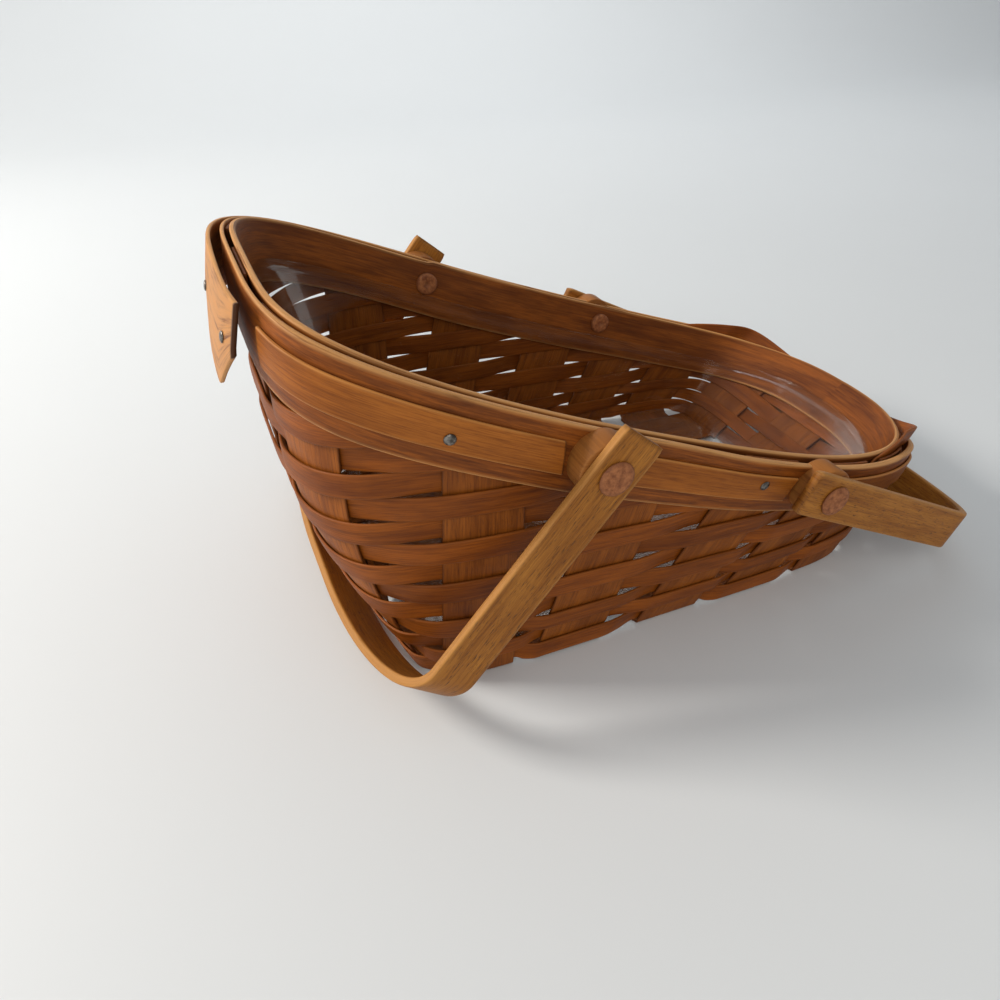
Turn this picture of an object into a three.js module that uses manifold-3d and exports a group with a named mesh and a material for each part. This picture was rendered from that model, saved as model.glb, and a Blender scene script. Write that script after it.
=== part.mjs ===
// Splint basket with a slanted rim, two swinging bentwood handles and a clear liner.
// Millimetres, +Z up. The origin is the middle of the underside. +X runs to the low end,
// and -Y is the front long side.
import * as THREE from 'three';
import { mergeVertices } from 'three/addons/utils/BufferGeometryUtils.js';
import Module from 'manifold-3d';

const wasm = await Module();
wasm.setup();

// Foot outline, on the middle of the wall's thickness
const FOOT_TALL_REACH = 131;
const FOOT_LOW_REACH = 124;
const FOOT_WIDTH = 186;
const FOOT_SQUARENESS = 9;

// Rim outline, at the inner band's upper inner edge
const RIM_TALL_REACH = 166.7;
const RIM_LOW_REACH = 185.8;
const RIM_WIDTH = 198.7;
const RIM_WIDEST_AT = 12;
const RIM_TALL_SQUARENESS = 4.26;
const RIM_LOW_SQUARENESS = 2.63;

// Height of that edge at the two ends, and how early it drops
const RIM_TOP_TALL = 179.4;
const RIM_TOP_LOW = 51;
const RIM_SWEEP = 1.28;

// How much more upright the low end's wall starts, and the share of the height where that ends
const LOW_END_CURVE = 0.45;
const LOW_END_CURVE_TOP = 0.6;

// The tall end's wall bulges until it stands upright at a share of the height, and the bulge
// fades into the even lean of the long sides between two places
const TALL_END_UPRIGHT_FROM = 0.64;
const BULGE_FADE_FROM = 0.16;
const BULGE_FADE_TO = 0.36;

// Woven strips
const SPLINT_WIDTH = 35;
const SPLINT_THICKNESS = 1.2;
const WEAVER_THICKNESS = 1.2;
const ROW_GAP = 0.9;
const LOW_ROWS = 3;
const LOW_ROW_PITCH = 9.3;
const TOP_ROW_DROP = 30.2;
const CLEARANCE = 0.3;
const WEAVE_CLEARANCE = 0.4;
const BAND_CLEARANCE = 0.45;
const SPLINT_TOP_DROP = 1.5;
const WEAVER_TOP_DROP = 3;
const PINCHED_WEAVER_TOP_DROP = 16.5;
const BEND_RADIUS = 2.4;
const CROSSING_MARGIN = 1.2;
const ROWS = 14;

// 0 or 1: which splints the lowest row runs outside of
const WEAVE_PHASE = 0;

// Crosswise splints: middles, as shares of the foot's and of the rim's length from the tall end
const CROSS_FOOT_PLACES = [0.095, 0.273, 0.5, 0.687, 0.885];
const CROSS_RIM_PLACES = [0.178, 0.381, 0.568, 0.725, 0.845];

// Lengthwise splints: outer pair's middles, as a share of half the width
const LONG_FOOT_PLACE = 0.64;
const LONG_TALL_RIM_PLACE = 0.62;
const LONG_LOW_RIM_PLACE = 0.56;

// Rim bands
const INNER_BAND_HEIGHT = 31.5;
const INNER_BAND_THICKNESS = 2.6;
const BAND_HEIGHT_TALL = 32.5;
const BAND_HEIGHT_LOW = 22;
const BAND_THICKNESS = 3.4;
const LAP_INNER_THICKNESS = 1.8;
const LAP_OUTER_THICKNESS = 2;
const LAP_SPRING_FOOT = 14.5;
const LAP_SPRING_HEAD = 7;
const LAP_SPRING_LENGTH = 0.36;
const LAP_SPRING_RETURN = 0.3;
const LAP_FLARE = 7;

// Places between which the bands, pinched on the splints alone, spread round the weave
const PINCH_FADE_FROM = 0.37;
const PINCH_FADE_TO = 0.48;

// Places of the outer band's start and of its lapping end, as shares of half the way round
const LAP_FROM = -0.15;
const LAP_TO = 0.09;
const LAP_RAMP = 0.07;
const LAP_LEAD = 0.008;
const LAP_CLIP = 0.035;
const LAP_CLIP_DROP = 20;

// Upper and lower edges of the trim, as shares of the outer band's height
const TRIM_TOP = 0.22;
const TRIM_BOTTOM = 0.71;
const TRIM_THICKNESS = 1.5;
const TRIM_END_GAP = 2.5;

// Handles and their pivots
const PIVOT_TALL_X = -61;
const PIVOT_LOW_X = 58;
const PIVOT_TALL_DROP = 12.5;
const PIVOT_LOW_DROP = 10.5;
const HANDLE_LENGTH = 142.4;
const HANDLE_STUB = 18.5;
const HANDLE_SPREAD = 240.2;
const HANDLE_CORNER_ACROSS = 104;
const HANDLE_CORNER_ALONG = 37;
const STRAP_WIDTH = 22;
const STRAP_THICKNESS = 4.2;
const TABLE_CLEARANCE = 0.4;
const RIVET_SHANK_DIAMETER = 6;
const RIVET_HEAD_DIAMETER = 15;
const RIVET_HEAD_HEIGHT = 1.8;
const RIVET_BUTTON_DIAMETER = 12.5;
const RIVET_BUTTON_HEIGHT = 2;
const WASHER_DIAMETER = 26;

// Tacks
const TACK_HEAD_DIAMETER = 4.8;
const TACK_HEAD_HEIGHT = 0.7;
const TACK_SHANK_DIAMETER = 1.4;
const TACK_SHANK_LENGTH = 4.4;

// Liner
const LINER_THICKNESS = 1.5;
const LINER_TOP_DROP = 19;
const LINER_LIP = 1;
const LINER_LIP_HEIGHT = 5;
const LINER_CORNER = 9;

// Middle of the liner's rounded lower corner, as shares of the corner's size
const LINER_BEND_OUTER = 0.3;
const LINER_BEND_INNER_RISE = 0.2;
const LINER_BEND_INNER_REACH = 0.4;
const LINER_BEND_INNER_MORE = 1;

// Fineness of the curves and of searches by halving
const OUTLINE_SAMPLES = 900;
const HALVINGS = 40;
const ROUND_SIDES = 16;
const WASHER_SIDES = 28;
const SMALL_SIDES = 6;
const BOW_STEPS = 10;

// Layers of the wall, as distances from its middle
const WEAVER_OFFSET = SPLINT_THICKNESS / 2 + WEAVE_CLEARANCE + WEAVER_THICKNESS / 2;
const WALL_FACE = WEAVER_OFFSET + WEAVER_THICKNESS / 2;
const BAND_SEAT = WALL_FACE + BAND_CLEARANCE;
const BAND_PINCH = SPLINT_THICKNESS / 2 + BAND_CLEARANCE;
const INNER_BAND_FACE = BAND_SEAT + INNER_BAND_THICKNESS;
const LINER_OUTER = INNER_BAND_FACE + RIVET_BUTTON_HEIGHT + 3 * CLEARANCE;

// Layers of the floor
const FLOOR_LOW = SPLINT_THICKNESS / 2;
const FLOOR_HIGH = FLOOR_LOW + SPLINT_THICKNESS + CLEARANCE;
const FLOOR_TOP = FLOOR_HIGH + SPLINT_THICKNESS / 2;
const FIRST_ROW_RISE = FLOOR_LOW + BEND_RADIUS + 2 * CLEARANCE;

const WOOD = { color: 0x98602f, roughness: 0.6, metalness: 0 };
const materials = {
  splint: new THREE.MeshStandardMaterial({ ...WOOD, color: 0x8e5a2e }),
  weaver: new THREE.MeshStandardMaterial({ ...WOOD, color: 0x9a6334 }),
  band: new THREE.MeshStandardMaterial({ ...WOOD, color: 0x92592c }),
  strap: new THREE.MeshStandardMaterial({ ...WOOD, color: 0xa06d3c }),
  rivet: new THREE.MeshStandardMaterial({ ...WOOD, color: 0xa8744c }),
  tack: new THREE.MeshStandardMaterial({ color: 0x8c8a86, roughness: 0.35, metalness: 1 }),
  liner: new THREE.MeshStandardMaterial({
    color: 0xdfe3e4, roughness: 0.08, metalness: 0, transparent: true, opacity: 0.35,
  }),
};

const basket = new THREE.Group();

function addMesh(name, geometry, material) {
  const mesh = new THREE.Mesh(geometry, material);
  mesh.name = name;
  basket.add(mesh);
}

// Half of a rounded outline, from the tall end's middle round the front to the low end's middle
function halfOutline(tallReach, lowReach, width, widestAt, tallSquareness, lowSquareness) {
  const points = [];
  for (let i = 0; i <= OUTLINE_SAMPLES; i += 1) {
    const angle = Math.PI * (1 + i / OUTLINE_SAMPLES);
    const [cosine, sine] = [Math.cos(angle), Math.sin(angle)];
    const squareness = cosine < 0 ? tallSquareness : lowSquareness;
    const reach = cosine < 0 ? tallReach + widestAt : lowReach - widestAt;
    const across = Math.abs(cosine / reach) ** squareness;
    const along = Math.abs(sine / (width / 2)) ** squareness;
    const radius = (across + along) ** (-1 / squareness);
    const atEnd = i === 0 || i === OUTLINE_SAMPLES;
    points.push(new THREE.Vector2(widestAt + radius * cosine, atEnd ? 0 : radius * sine));
  }
  const lengths = [0];
  for (let i = 1; i < points.length; i += 1) {
    lengths.push(lengths[i - 1] + points[i].distanceTo(points[i - 1]));
  }
  return { points, lengths };
}

// First place along an outline, as a length, where a test of its points comes true
function lengthWhere(outline, test) {
  const index = outline.points.findIndex(test);
  return outline.lengths[index];
}

function pointAtLength(outline, length) {
  const { points, lengths } = outline;
  let low = 0;
  let high = lengths.length - 1;
  while (high - low > 1) {
    const middle = (low + high) >> 1;
    if (lengths[middle] <= length) low = middle;
    else high = middle;
  }
  const span = lengths[high] - lengths[low];
  return points[low].clone().lerp(points[high], (length - lengths[low]) / span);
}

// Smooth rising curve through knots, with no overshoot
function risingCurve(xs, ys) {
  const slopes = xs.slice(1).map((x, i) => (ys[i + 1] - ys[i]) / (x - xs[i]));
  const tangents = xs.map((_, i) => {
    if (i === 0) return slopes[0];
    if (i === xs.length - 1) return slopes[i - 1];
    return (2 * slopes[i - 1] * slopes[i]) / (slopes[i - 1] + slopes[i]);
  });
  return (x) => {
    let i = 0;
    while (i < xs.length - 2 && x > xs[i + 1]) i += 1;
    const width = xs[i + 1] - xs[i];
    const s = (x - xs[i]) / width;
    const back = 1 - s;
    return ys[i] * (1 + 2 * s) * back * back
      + tangents[i] * width * s * back * back
      + ys[i + 1] * s * s * (3 - 2 * s)
      - tangents[i + 1] * width * s * s * back;
  };
}

const footOutline = halfOutline(
  FOOT_TALL_REACH, FOOT_LOW_REACH, FOOT_WIDTH,
  (FOOT_LOW_REACH - FOOT_TALL_REACH) / 2, FOOT_SQUARENESS, FOOT_SQUARENESS,
);
const rimOutline = halfOutline(
  RIM_TALL_REACH, RIM_LOW_REACH, RIM_WIDTH,
  RIM_WIDEST_AT, RIM_TALL_SQUARENESS, RIM_LOW_SQUARENESS,
);

// Splint places, as shares of the way from the tall end's middle to the low end's middle
const LONG_TALL_PLACE = 0.12;
const CROSS_PLACES = [0.25, 0.37, 0.5, 0.62, 0.75];
const LONG_LOW_PLACE = 0.88;

function splintLengths(outline, shares, tallReach, lowReach, width, tallShare, lowShare) {
  const half = width / 2;
  const count = outline.points.length;
  const onTallEnd = lengthWhere(outline, (p) => p.y <= -tallShare * half);
  const acrossX = shares.map((share) => -tallReach + share * (tallReach + lowReach));
  const onSide = acrossX.map((x) => lengthWhere(outline, (p) => p.x >= x));
  const pastMiddle = (p, i) => i > count / 2 && p.y >= -lowShare * half;
  const onLowEnd = lengthWhere(outline, pastMiddle);
  return [0, onTallEnd, ...onSide, onLowEnd, outline.lengths[count - 1]];
}

const TANGENT_STEP = 1;
const rimFullLength = rimOutline.lengths[rimOutline.lengths.length - 1];
const SPLINT_PLACES = [0, LONG_TALL_PLACE, ...CROSS_PLACES, LONG_LOW_PLACE, 1];
const footLength = risingCurve(SPLINT_PLACES, splintLengths(
  footOutline, CROSS_FOOT_PLACES, FOOT_TALL_REACH, FOOT_LOW_REACH, FOOT_WIDTH,
  LONG_FOOT_PLACE, LONG_FOOT_PLACE,
));
const rimLength = risingCurve(SPLINT_PLACES, splintLengths(
  rimOutline, CROSS_RIM_PLACES, RIM_TALL_REACH, RIM_LOW_REACH, RIM_WIDTH,
  LONG_TALL_RIM_PLACE, LONG_LOW_RIM_PLACE,
));

function rimEdgeHeight(x) {
  const share = (x + RIM_TALL_REACH) / (RIM_TALL_REACH + RIM_LOW_REACH);
  return RIM_TOP_LOW + (RIM_TOP_TALL - RIM_TOP_LOW) * Math.max(1 - share, 0) ** RIM_SWEEP;
}

function bulgeShare(u) {
  return 1 - THREE.MathUtils.smoothstep(u, BULGE_FADE_FROM, BULGE_FADE_TO);
}

function pinchShare(u) {
  return 1 - THREE.MathUtils.smoothstep(u, PINCH_FADE_FROM, PINCH_FADE_TO);
}

// Foot and rim of the wall's middle at a share u of the way round from the tall end. The rim
// lies outside the inner band's edge and, where the wall leans, a little lower.
function wallEnds(u) {
  const foot = pointAtLength(footOutline, footLength(u));
  const length = rimLength(u);
  const edge = pointAtLength(rimOutline, length);
  const ahead = pointAtLength(rimOutline, Math.min(length + TANGENT_STEP, rimFullLength));
  const behind = pointAtLength(rimOutline, Math.max(length - TANGENT_STEP, 0));
  const along = ahead.sub(behind).normalize();
  const out = new THREE.Vector2(along.y, -along.x);
  const height = rimEdgeHeight(edge.x);
  const slope = (1 - bulgeShare(u)) * edge.clone().sub(foot).dot(out);
  const lean = Math.atan2(slope, height);
  const offset = INNER_BAND_FACE - pinchShare(u) * (BAND_SEAT - BAND_PINCH);
  const rim = edge.addScaledVector(out, offset * Math.cos(lean));
  return { foot, rim, height: height - offset * Math.sin(lean) };
}

// A place w runs from -1 at the low end's middle, along the back, through 0 at the tall end's
// middle, along the front to 1 at the low end's middle again.
function wrapPlace(w) {
  return w - 2 * Math.round(w / 2);
}

const endsByPlace = new Map();

function knownEnds(u) {
  if (!endsByPlace.has(u)) endsByPlace.set(u, wallEnds(u));
  return endsByPlace.get(u);
}

// Point on the middle of the wall, at place w and share t of the height
function wallMiddle(w, t) {
  const place = wrapPlace(w);
  const u = Math.min(Math.abs(place), 1);
  const { foot, rim, height } = knownEnds(u);
  const lowness = THREE.MathUtils.smoothstep(u, CROSS_PLACES[3], 1);
  const upright = Math.max(1 - t / LOW_END_CURVE_TOP, 0) ** 2;
  const even = Math.max(t, 0) * (1 - LOW_END_CURVE * lowness * upright);
  const risen = THREE.MathUtils.clamp(t / TALL_END_UPRIGHT_FROM, 0, 1);
  const bulged = Math.sin((Math.PI / 2) * risen);
  const lean = THREE.MathUtils.lerp(even, bulged, bulgeShare(u));
  const side = place < 0 ? -1 : 1;
  const x = THREE.MathUtils.lerp(foot.x, rim.x, lean);
  const y = THREE.MathUtils.lerp(foot.y, rim.y, lean) * side;
  return new THREE.Vector3(x, y, height * t);
}

const PLACE_STEP = 0.004;
const HEIGHT_STEP = 0.01;

// Point at a distance outwards from the middle of the wall
function wallPoint(w, t, offset) {
  const along = wallMiddle(w + PLACE_STEP, t).sub(wallMiddle(w - PLACE_STEP, t));
  const lower = Math.max(t - HEIGHT_STEP, 0);
  const up = wallMiddle(w, t + HEIGHT_STEP).sub(wallMiddle(w, lower));
  const normal = along.cross(up).normalize();
  return wallMiddle(w, t).addScaledVector(normal, offset);
}

// Lengths up the wall's slant at equal shares of the height, for each place asked for
const RISE_SAMPLES = 16;
const knownRises = new Map();

function risesAt(w) {
  const u = Math.abs(wrapPlace(w)).toFixed(6);
  if (!knownRises.has(u)) {
    const lengths = [0];
    for (let i = 1; i <= RISE_SAMPLES; i += 1) {
      const step = wallMiddle(Number(u), i / RISE_SAMPLES);
      lengths.push(lengths[i - 1] + step.distanceTo(wallMiddle(Number(u), (i - 1) / RISE_SAMPLES)));
    }
    knownRises.set(u, lengths);
  }
  return knownRises.get(u);
}

function fullRise(w) {
  return risesAt(w)[RISE_SAMPLES];
}

// Share of the height at a length up the wall's slant
function shareAtRise(w, rise) {
  const lengths = risesAt(w);
  let i = 0;
  while (i < RISE_SAMPLES - 1 && rise > lengths[i + 1]) i += 1;
  return (i + (rise - lengths[i]) / (lengths[i + 1] - lengths[i])) / RISE_SAMPLES;
}

function shareBelowRim(w, drop) {
  return shareAtRise(w, fullRise(w) - drop);
}

// Places that a distance along the wall spans at place w and height share t
function placesFor(distance, w, t) {
  const span = wallMiddle(w + PLACE_STEP, t).distanceTo(wallMiddle(w - PLACE_STEP, t));
  return (distance * 2 * PLACE_STEP) / span;
}

const TIE = 0.001;

// Closed body through equal loops of points: joined end to end, or closed by end faces.
// A strip's loop goes along one face and back along the other, and a ring's goes once round.
function loft(loops, ends) {
  const count = loops[0].length;
  const points = loops.flat();
  const positions = points.flatMap((p) => [p.x, p.y, p.z]);
  const indices = [];
  const rounds = ends === 'joined' ? loops.length : loops.length - 1;
  for (let i = 0; i < rounds; i += 1) {
    const here = i * count;
    const next = ((i + 1) % loops.length) * count;
    for (let j = 0; j < count; j += 1) {
      const k = (j + 1) % count;
      const [a, b, c, d] = [here + j, next + j, next + k, here + k];
      const falling = points[a].distanceTo(points[c]) < points[b].distanceTo(points[d]) - TIE;
      indices.push(...(falling ? [a, b, c, a, c, d] : [b, c, d, b, d, a]));
    }
  }
  const last = (loops.length - 1) * count;
  if (ends === 'strip') {
    for (let j = 0; j < count / 2 - 1; j += 1) {
      const [a, b, c, d] = [j, j + 1, count - 2 - j, count - 1 - j];
      indices.push(a, b, c, a, c, d);
      indices.push(last + a, last + c, last + b, last + a, last + d, last + c);
    }
  }
  if (ends === 'ring') {
    for (let j = 1; j < count - 1; j += 1) {
      indices.push(0, j, j + 1, last, last + j + 1, last + j);
    }
  }
  const geometry = new THREE.BufferGeometry();
  geometry.setAttribute('position', new THREE.Float32BufferAttribute(positions, 3));
  geometry.setIndex(indices);
  return facingOut(geometry);
}

// Turns every face round if the body is inside out
function facingOut(geometry) {
  const position = geometry.getAttribute('position');
  const index = geometry.getIndex().array;
  const [a, b, c] = [new THREE.Vector3(), new THREE.Vector3(), new THREE.Vector3()];
  let volume = 0;
  for (let i = 0; i < index.length; i += 3) {
    a.fromBufferAttribute(position, index[i]);
    b.fromBufferAttribute(position, index[i + 1]);
    c.fromBufferAttribute(position, index[i + 2]);
    volume += a.dot(b.cross(c));
  }
  if (volume < 0) geometry.setIndex(Array.from(index).reverse());
  return geometry;
}

const MERGE_WITHIN = 1e-4;

function toSolid(geometry) {
  const bare = geometry.clone();
  bare.deleteAttribute('normal');
  bare.deleteAttribute('uv');
  const merged = mergeVertices(bare, MERGE_WITHIN);
  return new wasm.Manifold(new wasm.Mesh({
    numProp: 3,
    vertProperties: new Float32Array(merged.getAttribute('position').array),
    triVerts: new Uint32Array(merged.getIndex().array),
  }));
}

function toGeometry(solid) {
  const mesh = solid.getMesh();
  const geometry = new THREE.BufferGeometry();
  const positions = new THREE.BufferAttribute(new Float32Array(mesh.vertProperties), 3);
  geometry.setAttribute('position', positions);
  geometry.setIndex(new THREE.BufferAttribute(new Uint32Array(mesh.triVerts), 1));
  return geometry;
}

// Cylinder from one point to another
function rod(from, to, diameter, sides) {
  const axis = to.clone().sub(from);
  const geometry = new THREE.CylinderGeometry(diameter / 2, diameter / 2, axis.length(), sides);
  const turn = new THREE.Quaternion();
  turn.setFromUnitVectors(new THREE.Vector3(0, 1, 0), axis.clone().normalize());
  geometry.applyQuaternion(turn);
  geometry.translate(...from.clone().add(to).multiplyScalar(0.5).toArray());
  return geometry;
}

// Splints are numbered from 0 at the tall end's middle to 8 at the low end's middle, with the
// sign of their side.
const LOW_END = 8;
const SPLINTS_ROUND = [-7, -6, -5, -4, -3, -2, -1, 0, 1, 2, 3, 4, 5, 6, 7, LOW_END];
const NEXT_TO_CORNER = [1, 2, 6, 7];
const LAST_BULGED_WALL = 3;
const LAST_EVEN_WALL = 4;

// Corners, by the sum of the numbers of the splints on either side, and their extra stops
const TALL_CORNER = 3;
const LOW_CORNER = 13;
const TALL_CORNER_STOPS = 4;
const LOW_CORNER_STOPS = 3;

function splintPlace(number) {
  return Math.sign(number) * SPLINT_PLACES[Math.abs(number)];
}

function splintColumns(number) {
  return NEXT_TO_CORNER.includes(Math.abs(number)) ? [-1, -0.5, 0, 0.5, 1] : [-1, 0, 1];
}

// Whether a row of the weave runs outside a splint
function runsOutside(row, number) {
  return (row + Math.abs(number) + WEAVE_PHASE) % 2 === 0;
}

function cornerStops(number) {
  const corner = Math.abs(number) + Math.abs(number + 1);
  if (corner === TALL_CORNER) return TALL_CORNER_STOPS;
  return corner === LOW_CORNER ? LOW_CORNER_STOPS : 0;
}

// Stops round the basket at which curved strips bend: each has its place, the splint before it
// and the share of the way to the next splint.
function stopsRound(shareFor) {
  const columns = SPLINTS_ROUND.map((number) => {
    const middle = splintPlace(number);
    const reach = placesFor(SPLINT_WIDTH / 2, middle, shareFor(middle));
    return splintColumns(number).map((column) => middle + column * reach);
  });
  return SPLINTS_ROUND.flatMap((number, i) => {
    const own = columns[i].map((w) => ({ w, number, way: 0 }));
    const edge = columns[i][columns[i].length - 1];
    const wraps = i + 1 === SPLINTS_ROUND.length;
    const nextEdge = wraps ? columns[0][0] + 2 : columns[i + 1][0];
    const count = cornerStops(number);
    const between = Array.from({ length: count }, (_, j) => {
      const way = (j + 1) / (count + 1);
      return { w: THREE.MathUtils.lerp(edge, nextEdge, way), number, way };
    });
    return [...own, ...between];
  });
}

// The stops within a run from one place to another, with its two ends
function stopsBetween(stops, from, to) {
  const turns = [-2, 0, 2].flatMap((turn) => stops.map((stop) => ({ ...stop, w: stop.w + turn })));
  const shortest = 0.002;
  const inside = turns.filter(({ w }) => w > from + shortest && w < to - shortest);
  const ends = [from, to].map((w) => {
    const before = turns.filter((stop) => stop.w <= w).pop();
    const after = turns.find((stop) => stop.w > w);
    const way = before.way + ((w - before.w) / (after.w - before.w)) * (after.way || 1 - before.way);
    const onSplint = before.number === after.number && before.way === 0 && after.way === 0;
    return { w, number: before.number, way: onSplint ? 0 : way };
  });
  return [ends[0], ...inside, ends[1]];
}

// Splints
const TALL_END_LEVELS = [0, 0.1, 0.2, 0.29, 0.38, 0.46, 0.54, 0.62, 0.7, 0.78, 0.89, 1];
const SPLINT_LEVELS = [0, 0.2, 0.45, 0.7, 1];
const LOW_END_LEVELS = [0, 0.1, 0.2, 0.3, 0.4, 0.5, 0.65, 1];
const BEND_SHARES = [1 / 3, 2 / 3, 1];

function splintLoop(number, t) {
  const middle = splintPlace(number);
  const reach = placesFor(SPLINT_WIDTH / 2, middle, t);
  const places = splintColumns(number).map((column) => middle + column * reach);
  const inner = places.map((w) => wallPoint(w, t, -SPLINT_THICKNESS / 2));
  const outer = places.map((w) => wallPoint(w, t, SPLINT_THICKNESS / 2)).reverse();
  return [...inner, ...outer];
}

function splintLevels(number) {
  if (Math.abs(number) <= LAST_BULGED_WALL) return TALL_END_LEVELS;
  return Math.abs(number) > LAST_EVEN_WALL ? LOW_END_LEVELS : SPLINT_LEVELS;
}

// Loops up a wall, from just above the bend to just under the rim's top
function wallLoops(number, level) {
  const place = splintPlace(number);
  const bottom = (level + BEND_RADIUS) / wallMiddle(place, 1).z;
  const top = shareBelowRim(place, SPLINT_TOP_DROP);
  const shares = splintLevels(number).map((share) => THREE.MathUtils.lerp(bottom, top, share));
  return shares.map((t) => splintLoop(number, t));
}

// Loops round the bend from a wall into the floor
function bendLoops(wallLoop, inward, level) {
  const count = wallLoop.length;
  return BEND_SHARES.map((share) => {
    const angle = (share * Math.PI) / 2;
    return wallLoop.map((point, i) => {
      const mate = wallLoop[count - 1 - i];
      const face = i < count / 2 ? -1 : 1;
      const radius = BEND_RADIUS + (face * SPLINT_THICKNESS) / 2;
      const centre = point.clone().add(mate).multiplyScalar(0.5);
      centre.addScaledVector(inward, BEND_RADIUS - radius * Math.cos(angle));
      centre.z = level + BEND_RADIUS - radius * Math.sin(angle);
      return centre;
    });
  });
}

function floorLoop(columns, level) {
  const upper = columns.map(([x, y]) => new THREE.Vector3(x, y, level + SPLINT_THICKNESS / 2));
  const lower = columns.map(([x, y]) => new THREE.Vector3(x, y, level - SPLINT_THICKNESS / 2));
  return [...upper, ...lower.reverse()];
}

// The same loop seen from the other wall
function mirrored(loop) {
  const half = loop.length / 2;
  return [...loop.slice(0, half).reverse(), ...loop.slice(half).reverse()];
}

// One splint up one wall, across the floor and up the other wall
function splintGeometry(run) {
  const startLevel = run.startLevel;
  const endLevel = run.endLevel;
  const startWall = wallLoops(run.start, startLevel);
  const endWall = wallLoops(run.end, endLevel);
  const startBend = bendLoops(startWall[0], run.inward, startLevel);
  const endBend = bendLoops(endWall[0], run.inward.clone().negate(), endLevel);
  const floor = run.crossings.map(({ at, level }) => floorLoop(run.columnsAt(at), level));
  const far = [...endBend.reverse(), ...endWall].map(mirrored);
  return loft([...startWall.reverse(), ...startBend, ...floor, ...far], 'strip');
}

const crossMiddles = CROSS_FOOT_PLACES.map(
  (share) => -FOOT_TALL_REACH + share * (FOOT_TALL_REACH + FOOT_LOW_REACH),
);
const longMiddles = [-1, 0, 1].map((side) => (side * LONG_FOOT_PLACE * FOOT_WIDTH) / 2);
const crossingReach = SPLINT_WIDTH / 2 + CROSSING_MARGIN;
const longNumbers = [1, 0, -1];
const lowEndNumbers = [LOW_END - 1, LOW_END, 1 - LOW_END];

function longIsUpper(crossIndex, longIndex) {
  return runsOutside(1 + crossIndex, longNumbers[longIndex]);
}

crossMiddles.forEach((x, i) => {
  const crossings = longMiddles.flatMap((y, j) => {
    const level = longIsUpper(i, j) ? FLOOR_LOW : FLOOR_HIGH;
    return [{ at: y - crossingReach, level }, { at: y + crossingReach, level }];
  });
  const columns = splintColumns(i + 2);
  const geometry = splintGeometry({
    start: i + 2,
    end: -(i + 2),
    inward: new THREE.Vector3(0, 1, 0),
    startLevel: FLOOR_LOW,
    endLevel: FLOOR_LOW,
    crossings,
    columnsAt: (y) => columns.map((column) => [x + (column * SPLINT_WIDTH) / 2, y]),
  });
  addMesh(`cross_splint_${i + 1}`, geometry, materials.splint);
});

['front', 'middle', 'back'].forEach((side, j) => {
  const crossings = crossMiddles.flatMap((x, i) => {
    const level = longIsUpper(i, j) ? FLOOR_HIGH : FLOOR_LOW;
    return [{ at: x - crossingReach, level }, { at: x + crossingReach, level }];
  });
  const columns = splintColumns(longNumbers[j]);
  const geometry = splintGeometry({
    start: longNumbers[j],
    end: lowEndNumbers[j],
    inward: new THREE.Vector3(1, 0, 0),
    startLevel: longIsUpper(0, j) ? FLOOR_HIGH : FLOOR_LOW,
    endLevel: FLOOR_LOW,
    crossings,
    columnsAt: (x) => columns.map((column) => [x, longMiddles[j] - (column * SPLINT_WIDTH) / 2]),
  });
  addMesh(`long_splint_${side}`, geometry, materials.splint);
});

// Rivet places
const pivots = [
  { end: 'tall', x: PIVOT_TALL_X, drop: PIVOT_TALL_DROP },
  { end: 'low', x: PIVOT_LOW_X, drop: PIVOT_LOW_DROP },
].map((pivot) => {
  let [near, far] = [0, 1];
  for (let i = 0; i < HALVINGS; i += 1) {
    const middle = (near + far) / 2;
    if (wallMiddle(middle, shareBelowRim(middle, pivot.drop)).x < pivot.x) near = middle;
    else far = middle;
  }
  const t = shareBelowRim(near, pivot.drop);
  const at = wallMiddle(near, t);
  return { ...pivot, w: near, at, rise: fullRise(near) - pivot.drop };
});

function pivotLine(pivot, side, fromY, toY, diameter, sides) {
  const [from, to] = [fromY, toY].map((y) => new THREE.Vector3(pivot.at.x, side * y, pivot.at.z));
  return rod(from, to, diameter, sides);
}

const SHANK_HOLE = RIVET_SHANK_DIAMETER + 2 * CLEARANCE;
const HOLE_REACH = 30;
const HOLE_INNER_Y = RIM_WIDTH / 2 - HOLE_REACH;
const HOLE_OUTER_Y = RIM_WIDTH / 2 + HOLE_REACH;
const shankCutters = pivots.flatMap((pivot) => [-1, 1].map((side) => ({
  pivot,
  solid: toSolid(pivotLine(pivot, side, HOLE_INNER_Y, HOLE_OUTER_Y, SHANK_HOLE, ROUND_SIDES)),
})));

function drilled(geometry, cutters) {
  let solid = toSolid(geometry);
  cutters.forEach((cutter) => {
    solid = solid.subtract(cutter);
  });
  return toGeometry(solid);
}

// Rows of the weave: the upper ones share what the lowest rows leave under the tall end's rim
const UPPER_ROWS_RISE = fullRise(0) - TOP_ROW_DROP - FIRST_ROW_RISE - LOW_ROWS * LOW_ROW_PITCH;
const ROW_PITCH = (UPPER_ROWS_RISE + ROW_GAP) / (ROWS - LOW_ROWS);

function rowBottom(row) {
  const lowRows = Math.min(row - 1, LOW_ROWS);
  return FIRST_ROW_RISE + lowRows * LOW_ROW_PITCH + (row - 1 - lowRows) * ROW_PITCH;
}

function rowTop(row) {
  return rowBottom(row + 1) - ROW_GAP;
}

function rowMiddle(row) {
  return (rowBottom(row) + rowTop(row)) / 2;
}

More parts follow.
